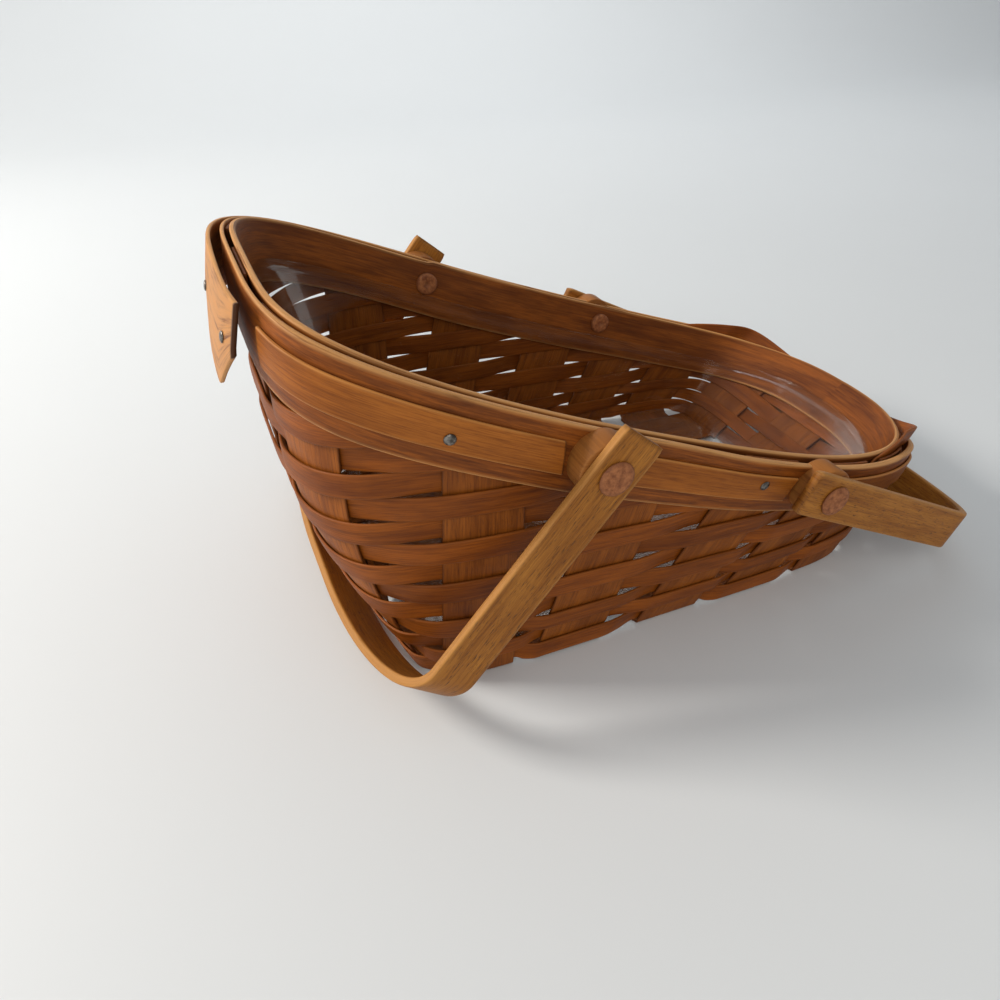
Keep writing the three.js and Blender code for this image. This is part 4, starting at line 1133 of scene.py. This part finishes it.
@dataclass
class RimBands:
    """The bent bands at the rim, with the lap that springs off, and the narrow trim in pieces."""

    weave: Weave
    height_tall: float = 32.5
    height_low: float = 22.0
    thickness: float = 3.4
    ease: float = 0.8
    inner_height: float = 31.5
    inner_thickness: float = 2.6
    inner_ease: float = 0.7
    step_height: float = 0.9
    step_at: float = -0.33
    step_rise: float = 0.006
    step_length: float = 0.2
    top_wavers: tuple[float, float, float] = (0.15, 0.12, 0.2)
    top_waves: tuple[float, float, float] = (0.6, 0.7, 0.5)
    clearance: float = 0.3
    band_clearance: float = 0.45
    lap_from: float = -0.150484
    lap_to: float = 0.089516
    lap_ramp: float = 0.07
    lap_lead: float = 0.008
    lap_inner_thickness: float = 1.8
    lap_outer_thickness: float = 2.0
    spring_foot: float = 14.5
    spring_head: float = 7.0
    spring_length: float = 0.36
    spring_return: float = 0.3
    lap_flare: float = 7.0
    clip_length: float = 0.035
    clip_drop: float = 20.0
    start_shade: float = 0.6
    # Painted light on the outer band's lapping end: how far before the end it starts, how fast it grows,
    # and its share.
    lap_light_length: float = 0.22
    lap_light_ramp: float = 0.1
    lap_light_share: float = 0.66
    end_places: tuple[float, ...] = (0.009, 0.006, 0.003, 0.0006, 0.0)
    cut_place: float = 0.0007
    trim_top: float = 0.22
    trim_bottom: float = 0.71
    trim_thickness: float = 1.5
    trim_ease: float = 0.55
    trim_end_place: float = 0.0012
    trim_end_shade: float = 0.7
    pivot_x: tuple[float, float] = (-61.0, 58.0)
    pivot_drops: tuple[float, float] = (12.5, 10.5)
    washer_diameter: float = 26.0
    trim_end_gap: float = 2.5
    stations: int = 720
    pivot_stations: int = 4001

    def __post_init__(self) -> None:
        """Finds the pivots."""
        self.pivots = [self._pivot(x, drop) for x, drop in zip(self.pivot_x, self.pivot_drops)]

    def _pivot(self, x: float, drop: float) -> tuple[float, Array]:
        """Place and point of the wall's middle at a pivot's distance along the basket."""
        wall = self.weave.wall
        u = np.linspace(0.0, 1.0, self.pivot_stations)
        middle = wall.middle(u, wall.share_below_rim(u, drop))
        w = float(np.interp(x, middle[:, 0], u))
        place = np.array(w)
        return w, wall.middle(place, wall.share_below_rim(place, np.array(drop)))

    def height(self, w: Array) -> Array:
        """Height of the outer band, which narrows towards the low end."""
        return self.height_tall + (self.height_low - self.height_tall) * smooth(from_tall_end(w))

    def seat(self, w: Array, drop: Array) -> Array:
        """Distance of the bands' near faces from the wall's middle, less in their pinched upper half."""
        wall = self.weave.wall
        raised = np.maximum(1.0 - 2.0 * drop / self.height(w), 0.0)
        pinch = wall.pinch_share(from_tall_end(w)) * raised
        return wall.band_seat - pinch * (wall.band_seat - wall.pinched_seat)

    def inner_near(self, w: Array, drop: Array) -> Array:
        """Distance of the inner band's face towards the room in the basket."""
        wall = self.weave.wall
        return -(self.seat(w, drop) + wall.inner_band_face - wall.band_seat)

    def inner_far(self, w: Array, drop: Array) -> Array:
        """Distance of the inner band's face towards the splints."""
        return -self.seat(w, drop)

    def lap_share(self, w: Array) -> Array:
        """How far the outer band has climbed onto its own start, 0 to 1."""
        return smooth((w - (2.0 + self.lap_from - self.lap_ramp)) / (self.lap_ramp - self.lap_lead))

    def spring(self, w: Array, drop: Array) -> Array:
        """How far the lapping end stands off: a curl s(a) (1 - r a squared), most at its lower edge."""
        along = np.maximum((w - 2.0 - self.lap_to) / self.spring_length + 1.0, 0.0)
        curl = smooth(along) * (1.0 - self.spring_return * along ** 2)
        return curl * (self.spring_head + (self.spring_foot - self.spring_head) * drop / self.height_tall)

    def outer_bottom(self, w: Array) -> Array:
        """Drop of the outer band's lower edge, which flares over the lap and has its corner cut off."""
        flare = self.lap_flare * smooth((w - 2.0 - self.lap_from) / (self.lap_to - self.lap_from))
        clip_from = 2.0 + self.lap_to - self.clip_length
        clipped = np.maximum((w - clip_from) / self.clip_length, 0.0)
        return self.height(w) + flare - self.clip_drop * clipped

    def outer_inner(self, w: Array, drop: Array) -> Array:
        """Distance of the outer band's inner face from the wall's middle."""
        offset = self.lap_inner_thickness + self.clearance
        return self.seat(w, drop) + self.lap_share(w) * offset + self.spring(w, drop)

    def outer_outer(self, w: Array, drop: Array) -> Array:
        """Distance of the outer band's outer face from the wall's middle."""
        start = 1.0 - smooth((w - self.lap_to) / self.lap_ramp)
        thinned = start * (self.thickness - self.lap_inner_thickness)
        lapped = self.lap_share(w) * (self.thickness - self.lap_outer_thickness)
        return self.outer_inner(w, drop) + self.thickness - thinned - lapped

    def trim_inner(self, w: Array, drop: Array) -> Array:
        """Distance of the trim's inner face from the wall's middle."""
        return self.outer_outer(w, drop) + self.band_clearance

    def trim_outer(self, w: Array, drop: Array) -> Array:
        """Distance of the trim's outer face from the wall's middle."""
        return self.trim_inner(w, drop) + self.trim_thickness

    def lay(
        self, name: str, w: Array, top: Array, bottom: Array,
        inner: Callable[[Array, Array], Array], outer: Callable[[Array, Array], Array],
        section: Section, ends: Ends, shade: Array | None = None, pale: Array | None = None,
        turns: float = 0.0,
    ) -> Piece:
        """Lays a band on the wall: W(w, share below the rim, inner + (outer - inner) (1 + depth) / 2).

        Args:
            name: the piece's name.
            w: the stations' places.
            top: drop of the upper edge below the rim at each station.
            bottom: drop of the lower edge.
            inner: distance of the inner face, from place and drop.
            outer: distance of the outer face, from place and drop.
            section: the band's section.
            ends: whether it is a ring.
            shade: darkening at each station.
            pale: painted light at each station, a lightening towards the edge colour.
            turns: added to the places to find both faces.

        Returns:
            The band.
        """
        wall = self.weave.wall
        drop = bottom[:, None] + (top - bottom)[:, None] * section.across
        place = w[:, None]
        near, far = inner(place + turns, drop), outer(place + turns, drop)
        offset = near + (far - near) * (1.0 + section.depth) / 2.0
        points = wall.point(place, wall.share_below_rim(place, drop), offset)
        return strip(name, points, section, ends, shade, pale)

    def inner_band(self) -> Piece:
        """Builds the inner band, a ring whose top steps a little where its ends meet at the back."""
        w = np.linspace(-1.0, 1.0, self.stations, endpoint=False)
        section = Section.of(self.inner_height, self.inner_thickness, self.inner_ease, 9)
        rise = smooth((w - self.step_at) / self.step_rise)
        step = rise * (1.0 - smooth((w - self.step_at - 0.01) / self.step_length))
        top = self.step_height * step + self.top_wavers[0] * wobble(w, self.top_waves[0], 3)
        bottom = np.full_like(w, self.inner_height)
        return self.lay(
            "inner_band", w, top, bottom, self.inner_near, self.inner_far, section, Ends.JOINED,
        )

    def outer_band(self) -> Piece:
        """Builds the outer band: once round, over its own start, and off at a clipped end."""
        end = 2.0 + self.lap_to
        w = np.linspace(self.lap_from, end - 0.012, self.stations + 80)
        w = np.concatenate([w, end - np.array(self.end_places)])
        section = Section.of(self.height_tall, self.thickness, self.ease, 9)
        top = self.top_wavers[1] * wobble(w, self.top_waves[1], 5)
        shade = np.where(w >= end - self.cut_place, 1.0, 0.0)
        shade[0] = self.start_shade
        # Painted light: the stretch before the lapping end is lightened towards the edge colour, standing
        # in for the strong light that falls on the lap.
        pale = self.lap_light_share * smooth((w - end + self.lap_light_length) / self.lap_light_ramp)
        return self.lay(
            "outer_band", w, top, self.outer_bottom(w), self.outer_inner, self.outer_outer,
            section, Ends.CUT, shade, pale,
        )

    def trim(self, name: str, start: float, end: float, turns: float) -> Piece:
        """Builds one length of trim on the outer band.

        Args:
            name: the piece's name.
            start: place of its first end.
            end: place of its last end.
            turns: added to the places to find the band beneath, 2 on its second time past.

        Returns:
            The trim.
        """
        count = max(int(abs(end - start) * self.stations / 2.0), 12)
        w = np.linspace(start, end, count)
        cut = min(self.trim_end_place, (end - start) / 10.0)
        w = np.concatenate([[start, start + cut], w[1:-1], [end - cut, end]])
        shade = np.zeros(len(w))
        shade[[0, -1]] = self.trim_end_shade
        width = self.height_tall * (self.trim_bottom - self.trim_top)
        section = Section.of(width, self.trim_thickness, self.trim_ease, 7)
        bottom = self.trim_bottom * self.height(w)
        waver = self.top_wavers[2] * wobble(w, self.top_waves[2], len(name))
        top = self.trim_top * self.height(w) + waver
        return self.lay(
            name, w, top, bottom, self.trim_inner, self.trim_outer, section, Ends.CUT, shade, turns=turns,
        )

    def trim_lengths(self) -> dict[str, tuple[float, float, float]]:
        """Lists the lengths of trim, which stop beside the washers and the lap.

        Returns:
            The start, the end and the turns of each, by its node.
        """
        wall = self.weave.wall
        radius = self.washer_diameter / 2.0 + self.trim_end_gap
        before, past = [], []
        for (w, _), drop in zip(self.pivots, self.pivot_drops):
            reach = float(wall.places_for(radius, w, wall.share_below_rim(w, drop)))
            before.append(w - reach)
            past.append(w + reach)
        return {
            "trim_back_tall": (-before[0], self.lap_from - self.lap_ramp, 2.0),
            "trim_front_tall": (self.lap_to + self.lap_lead, before[0], 0.0),
            "trim_front_middle": (past[0], before[1], 0.0),
            "trim_low_end": (past[1], 2.0 - past[1], 0.0),
            "trim_back_middle": (-before[1], -past[0], 2.0),
        }

    def dress(self) -> None:
        """Builds the bands and the trim and gives each its own cut of wood."""
        # The edge colour serves the bands' light edges and also the painted light on the lapping end.
        colours = {"dark": "552a0c", "middle": "84420c", "light": "a55d1e", "edge": "d89f60"}
        inner = WoodFinish(
            "inner_band_wood", **colours, tone=0.92, streaks=0.5, edge_share=0.95, seed=61,
        )
        outer = WoodFinish(
            "outer_band_wood", **colours, streaks=0.85, edge_share=0.85, seed=62, flecks=0.3,
            fineness=1.8,
        )
        settle(self.inner_band(), BASKET, inner.make(), ["inner_rim_band"])
        settle(self.outer_band(), BASKET, outer.make(), ["outer_rim_band"])
        for number, (node, (start, end, turns)) in enumerate(self.trim_lengths().items(), start=1):
            finish = WoodFinish(
                f"trim_wood_{number}", dark="7c420d", middle="a05a18", light="b16a26",
                edge="c98a48", streaks=0.4, edge_share=0.8, seed=70 + number, flecks=0.2,
            )
            piece = self.trim(node.replace("trim", "edging"), start, end, turns)
            settle(piece, BASKET, finish.make(), [node])


@dataclass
class Fixings:
    """Washers, rivets and tacks."""

    bands: RimBands
    handle_spread: float = 240.2
    strap_thickness: float = 4.2
    rivet_head: float = 15.0
    rivet_head_height: float = 1.8
    rivet_shank: float = 6.0
    rivet_button: float = 12.5
    rivet_button_height: float = 2.0
    tack_head: float = 4.8
    tack_shank: float = 1.4
    tack_length: float = 4.4
    tack_places: tuple[tuple[float, float, float, bool], ...] = (
        (-0.035, 0.5, 2.0, False), (0.07, 0.5, 2.0, False), (0.225, 0.53, 0.0, True),
        (0.49, 0.4, 0.0, True), (0.85, 0.5, 0.0, True), (-0.25, 0.5, 2.0, True),
        (-0.49, 0.5, 2.0, True), (-0.85, 0.5, 2.0, True),
    )

    def washer(self, name: str, at: Array, side: float) -> Piece:
        """Builds a washer between the band and the strap, with eased rims."""
        radius = self.bands.washer_diameter / 2.0
        outer = self.handle_spread / 2.0 - self.strap_thickness / 2.0 - 0.2
        inner = abs(at[1]) + self.bands.weave.wall.band_seat + 1.2
        profile = np.array([
            (inner, 0.0), (inner, radius - 0.6), (inner + 0.3, radius - 0.1), (inner + 0.8, radius),
            (outer - 0.9, radius), (outer - 0.3, radius - 0.25), (outer, radius - 0.9),
            (outer, radius * 0.6), (outer, 0.0),
        ])
        edge = np.array([0.0, 0.0, 0.3, 0.5, 0.6, 1.0, 0.8, 0.0, 0.0])
        origin = np.array([at[0], 0.0, at[2]])
        return lathe(name, profile, origin, np.array([0.0, side, 0.0]), 64, edge, 0.004)

    def rivet(self, name: str, at: Array, side: float) -> Piece:
        """Builds a rivet: dimpled button inside the rim, shank, and a low dome over the strap."""
        head = self.rivet_head / 2.0
        button = self.rivet_button / 2.0
        shank = self.rivet_shank / 2.0
        outer = self.handle_spread / 2.0 + self.strap_thickness / 2.0 + 0.15
        top = outer + self.rivet_head_height
        band = abs(at[1]) - self.bands.weave.wall.inner_band_face
        tip = band - self.rivet_button_height
        profile = np.array([
            (tip + 0.5, 0.0), (tip + 0.45, button * 0.16), (tip + 0.1, button * 0.26),
            (tip, button * 0.4), (tip, button * 0.78), (tip + 0.3, button * 0.94), (tip + 0.9, button),
            (band + 0.8, button), (band + 1.0, shank), (outer, shank), (outer, head - 0.3),
            (outer + 0.5, head), (outer + 0.9, head - 0.15), (top - 0.35, head - 0.8),
            (top - 0.12, head * 0.7), (top, head * 0.3), (top, 0.0),
        ])
        # Edge tint of the rivet: painted shade in the button's dimple and round the rims.
        edge = np.array([1.0, 1.0, 0.7, 0, 0, 0.3, 0.6, 0.6, 0, 0, 0, 0.8, 0.8, 0.3, 0, 0, 0], float)
        origin = np.array([at[0], 0.0, at[2]])
        return lathe(name, profile, origin, np.array([0.0, side, 0.0]), 48, edge, 0.008)

    def tack(self, name: str, w: float, share: float, turns: float, on_trim: bool) -> Piece:
        """Builds a tack driven square to the face: a shallow dome and a pointed shank."""
        wall = self.bands.weave.wall
        face = self.bands.trim_outer if on_trim else self.bands.outer_outer
        places = w + np.array([0.0, 0.004, -0.004, 0.0, 0.0])
        falls = share * self.bands.height(np.array(w)) + np.array([0.0, 0.0, 0.0, -1.0, 1.0])
        points = wall.point(places, wall.share_below_rim(places, falls), face(places + turns, falls))
        out = points[0]
        axis = np.cross(points[1] - points[2], points[3] - points[4])
        radius, shank = self.tack_head / 2.0, self.tack_shank / 2.0
        profile = np.array([
            (-self.tack_length, 0.0), (-self.tack_length + 1.5, shank * 0.7), (-1.0, shank),
            (0.02, shank), (0.05, radius - 0.2), (0.2, radius), (0.45, radius - 0.15),
            (0.72, radius * 0.7), (0.86, radius * 0.35), (0.8, radius * 0.1), (0.78, 0.0),
        ])
        return lathe(name, profile, out, axis, 24, np.zeros(len(profile)), 0.012)

    def dress(self) -> None:
        """Builds the fixings and gives them their finishes."""
        steel = TackFinish().make()
        seed = 81
        for end, (_, at) in zip(("tall", "low"), self.bands.pivots):
            for label, side in (("front", -1.0), ("back", 1.0)):
                corner = f"{end}_{label}"
                wood = WoodFinish(
                    f"washer_wood_{corner}", dark="6f3d14", middle="8f5420", light="a3682e",
                    edge="a96e34", seed=seed, flecks=0.3,
                )
                grain = EndGrainFinish(f"rivet_grain_{corner}", seed=seed)
                spacer = self.washer(f"spacer_{corner}", at, side)
                pin = self.rivet(f"pin_{corner}", at, side)
                settle(spacer, BASKET, wood.make(), [f"washer_{corner}"])
                settle(pin, BASKET, grain.make(), [f"rivet_{corner}"])
                seed += 1
        for number, (w, share, turns, on_trim) in enumerate(self.tack_places, start=1):
            nail = self.tack(f"nail_{number}", w, share, turns, on_trim)
            settle(nail, BASKET, steel, [f"tack_{number}"])


@dataclass
class Handle:
    """A strap bent to a U, which swings on two rivets and rests with its bow on the table."""

    end: str
    at: Array
    towards: float
    seed: int
    length: float = 142.4
    stub: float = 18.5
    spread: float = 240.2
    corner_across: float = 104.0
    corner_along: float = 37.0
    width: float = 22.0
    thickness: float = 4.2
    table_clearance: float = 0.4
    ease: float = 0.9
    end_squeeze: float = 0.07
    end_stations: float = 1.5
    end_shade: float = 0.25

    def rest_angle(self) -> float:
        """Angle from straight down at which the bow's lower corner meets the table."""
        across = self.width / 2.0
        along = self.length + self.thickness / 2.0
        height = self.at[2] - self.table_clearance
        return math.acos(height / math.hypot(across, along)) + math.atan2(across, along)

    def path(self) -> tuple[Array, Array, Array]:
        """Line of the strap: straight legs, quarter ellipses at the corners, and a straight bow.

        Returns:
            The distances across and along from the pivots, and the direction turned, in radians.
        """
        half = self.spread / 2.0
        leg = np.linspace(-self.stub, self.length - self.corner_along, 60, endpoint=False)
        angle = np.linspace(0.0, QUARTER, 70)
        corner = -half + self.corner_across * (1.0 - np.cos(angle))
        y = np.concatenate([np.full(leg.size, -half), corner])
        s = np.concatenate([leg, self.length - self.corner_along * (1.0 - np.sin(angle))])
        turned = np.arctan2(self.corner_across * np.sin(angle), self.corner_along * np.cos(angle))
        turn = np.concatenate([np.zeros(leg.size), turned])
        across = np.linspace(y[-1], -y[-1], 12)[1:-1]
        return (
            np.concatenate([y, across, -y[::-1]]),
            np.concatenate([s, np.full(across.size, self.length), s[::-1]]),
            np.concatenate([turn, np.full(across.size, QUARTER), math.pi - turn[::-1]]),
        )

    def build(self) -> Piece:
        """Carries the strap's section along its line, turned to the rest angle about the pivots.

        Returns:
            The handle.
        """
        angle = self.rest_angle()
        down = np.array([self.towards * math.sin(angle), 0.0, -math.cos(angle)])
        across = np.array([-down[2], 0.0, down[0]])
        origin = np.array([self.at[0], 0.0, self.at[2]])
        section = Section.of(self.width, self.thickness, self.ease, 7)
        y, s, turn = (part[:, None] for part in self.path())
        station = np.arange(y.size)
        from_end = np.minimum(station, station[::-1])[:, None]
        squeeze = 1.0 - self.end_squeeze * (1.0 - smooth(from_end / self.end_stations))
        wide = (section.across - 0.5) * self.width * squeeze
        deep = section.depth * self.thickness / 2.0
        points = (
            origin
            + down * (s + deep * np.sin(turn))[..., None]
            + across * wide[..., None]
            + np.array([0.0, 1.0, 0.0]) * (y - deep * np.cos(turn))[..., None]
        )
        shade = np.zeros(y.size)
        shade[[0, -1]] = self.end_shade
        return strip(f"strap_{self.end}", points, section, Ends.CUT, shade, flip=self.towards > 0)

    def dress(self) -> None:
        """Builds the strap in its paler wood with long flecks."""
        finish = WoodFinish(
            f"strap_wood_{self.end}", dark="7c4712", middle="a2641f", light="b87c32", edge="b98446",
            streaks=0.5, flecks=0.75, edge_share=0.75, roughness=0.5, seed=self.seed,
        )
        settle(self.build(), f"{self.end}_handle", finish.make(), [f"handle_{self.end}"])


@dataclass
class Liner:
    """Clear tray inside the basket, with a stepped lip."""

    bands: RimBands
    thickness: float = 1.5
    top_drop: float = 19.0
    lip: float = 1.0
    lip_height: float = 5.0
    corner: float = 9.0
    outer_layer: float = 8.15
    floor: float = 3.0
    stations: int = 420
    corner_stations: int = 9

    def build(self) -> Piece:
        """Builds the tray as a ring section: outer wall up to the lip, over it, and down inside.

        Each row of the section is at a drop below the rim, or at a height over the floor near the
        bottom corner, and at a distance inwards from the wall's middle. Both floors are closed by
        flat faces.

        Returns:
            The tray.
        """
        wall = self.bands.weave.wall
        w = np.linspace(-1.0, 1.0, self.stations, endpoint=False)
        thickness, top, lip_at = self.thickness, self.top_drop, self.outer_layer
        body = lip_at + self.lip
        shoulder = top + self.lip_height
        up = [
            (shoulder + 1.6, body), (shoulder + 0.8, body - 0.2), (shoulder + 0.2, lip_at + 0.2),
            (shoulder - 0.5, lip_at), (top + 0.5, lip_at),
        ]
        over = [(top, lip_at + 0.5), (top, lip_at + 1.0)]
        down = [(drop, offset + thickness) for drop, offset in reversed(up)]
        rows = self.corner_rows(w, self.floor, body, self.corner)
        for drop, offset in up + over + down:
            share = wall.share_below_rim(w, np.full_like(w, drop))
            rows.append(wall.point(w, share, np.full_like(w, -offset)))
        inside = self.corner_rows(w, self.floor + thickness, body + thickness, self.corner - thickness)
        rows += inside[::-1]
        count = self.stations
        vertices = np.concatenate(rows)
        quads = rings_of_quads(len(rows), count)
        under = np.arange(count)[::-1]
        above = np.arange(len(vertices) - count, len(vertices))
        faces = quads.reshape(-1, 4).tolist() + [under.tolist(), above.tolist()]
        corners = np.concatenate([quads.ravel(), under, above])
        return put_mesh("tray", vertices, faces, vertices[corners][:, :2] * MM)

    def corner_rows(self, w: Array, floor: float, wall_at: float, radius: float) -> list[Array]:
        """Rings up a rounded bottom corner.

        Args:
            w: the places round each ring.
            floor: height of the lowest ring.
            wall_at: distance inwards of the highest ring.
            radius: the corner's radius.

        Returns:
            The rings' points.
        """
        wall = self.bands.weave.wall
        tops = wall.middle(w, np.ones_like(w))[:, 2]
        rows = []
        for turn in np.linspace(0.0, QUARTER, self.corner_stations):
            height = floor + radius * (1 - math.cos(turn))
            offset = wall_at + radius * (1 - math.sin(turn))
            ring = wall.point(w, height / tops, np.full_like(w, -offset))
            ring[:, 2] = height
            rows.append(ring)
        return rows

    def dress(self) -> None:
        """Builds the tray in clear plastic."""
        settle(self.build(), BASKET, ClearFinish().make(), ["liner"])


@dataclass(frozen=True)
class Lamp:
    """A square soft lamp that faces a target. Lengths in metres, power in watts."""

    name: str
    place: Triple
    target: Triple
    size: float
    power: float
    colour: str

    def build(self) -> None:
        """Adds the lamp."""
        data = bpy.data.lights.new(self.name, "AREA")
        data.shape = "SQUARE"
        data.size = self.size
        data.energy = self.power
        data.color = linear(self.colour)[:3]
        lamp = bpy.data.objects.new(self.name, data)
        turned = (Vector(self.place) - Vector(self.target)).to_track_quat("Z", "Y").to_matrix().to_4x4()
        lamp.matrix_world = Matrix.Translation(self.place) @ turned
        bpy.context.scene.collection.objects.link(lamp)


@dataclass
class Studio:
    """Camera at the photograph's angle, soft lamps, and a pale floor with a backdrop, in metres."""

    eye: Triple = (-0.1955, -0.3247, 0.2830)
    right: Triple = (0.9190, -0.3942, 0.0020)
    up: Triple = (0.2317, 0.5404, 0.8088)
    focal_pixels: float = 774.9
    image_pixels: float = 1000.0
    sensor: float = 36.0
    sight: tuple[float, float] = (0.01, 20.0)
    floor_reach: float = 4.0
    floor_front: float = -3.0
    floor_back: float = 1.2
    sweep_radius: float = 0.8
    backdrop_top: float = 3.5
    sky: Triple = (0.95, 0.97, 1.0)
    sky_strength: float = 0.4
    lamps: tuple[Lamp, ...] = (
        Lamp("window", (-1.3, 0.6, 0.95), (0.0, 0.0, 0.08), 0.5, 24.0, "fff8f0"),
        Lamp("room", (-0.9, -1.5, 1.2), (0.0, 0.0, 0.05), 1.6, 14.5, "fff8ee"),
        Lamp("backdrop", (0.5, 0.9, 1.7), (0.9, 2.0, 0.9), 1.2, 16.0, "ffffff"),
    )

    def camera(self) -> None:
        """Places the camera from its eye point and its right and up directions."""
        data = bpy.data.cameras.new("camera")
        data.sensor_width = self.sensor
        data.lens = self.focal_pixels / self.image_pixels * self.sensor
        data.clip_start, data.clip_end = self.sight
        camera = bpy.data.objects.new("camera", data)
        up = Vector(self.up).normalized()
        right = Vector(self.right)
        right = (right - up * right.dot(up)).normalized()
        turned = Matrix((right, up, right.cross(up))).transposed().to_4x4()
        camera.matrix_world = Matrix.Translation(self.eye) @ turned
        bpy.context.scene.collection.objects.link(camera)
        bpy.context.scene.camera = camera

    def sweep(self) -> None:
        """Builds the floor and the backdrop as one sheet that curves up far behind."""
        x = np.linspace(-self.floor_reach, self.floor_reach, 9)
        angle = np.linspace(0.0, QUARTER, 13)
        y = self.floor_back + self.sweep_radius * np.sin(angle)
        z = self.sweep_radius * (1.0 - np.cos(angle))
        y = np.concatenate([[self.floor_front], y, y[-1:]])
        z = np.concatenate([[0.0], z, [self.backdrop_top]])
        points = np.stack(np.broadcast_arrays(x[:, None], y, z), axis=-1)
        i, j = np.meshgrid(np.arange(x.size - 1), np.arange(y.size - 1), indexing="ij")
        corner = i * y.size + j
        quads = np.stack([corner, corner + y.size, corner + y.size + 1, corner + 1], axis=-1).reshape(-1, 4)
        mesh = bpy.data.meshes.new("sweep")
        mesh.from_pydata(points.reshape(-1, 3).tolist(), [], quads.tolist())
        mesh.polygons.foreach_set("use_smooth", np.ones(len(quads), bool))
        piece = bpy.data.objects.new("sweep", mesh)
        piece.data.materials.append(SurfaceFinish().make())
        bpy.context.scene.collection.objects.link(piece)

    def world(self) -> None:
        """Sets an even pale light from all round."""
        world = bpy.data.worlds.new("surroundings")
        bpy.context.scene.world = world
        world.use_nodes = True
        background = world.node_tree.nodes["Background"]
        background.inputs["Color"].default_value = (*self.sky, 1.0)
        background.inputs["Strength"].default_value = self.sky_strength

    def build(self) -> None:
        """Sets the view, the lamps and the floor."""
        bpy.context.scene.view_settings.view_transform = "Standard"
        self.camera()
        self.world()
        self.sweep()
        for lamp in self.lamps:
            lamp.build()


def main() -> None:
    """Builds the scene, sub-assembly by sub-assembly."""
    logging.basicConfig(level=logging.INFO, format="%(name)s %(message)s")
    Studio().build()
    weave = Weave(WallForm())
    bands = RimBands(weave)
    Splints(weave).dress()
    Weavers(weave).dress()
    bands.dress()
    Fixings(bands).dress()
    for end, towards, seed, (_, at) in zip(("tall", "low"), (-1.0, 1.0), (91, 92), bands.pivots):
        Handle(end, at, towards, seed).dress()
    Liner(bands).dress()


if __name__ == "__main__":
    main()
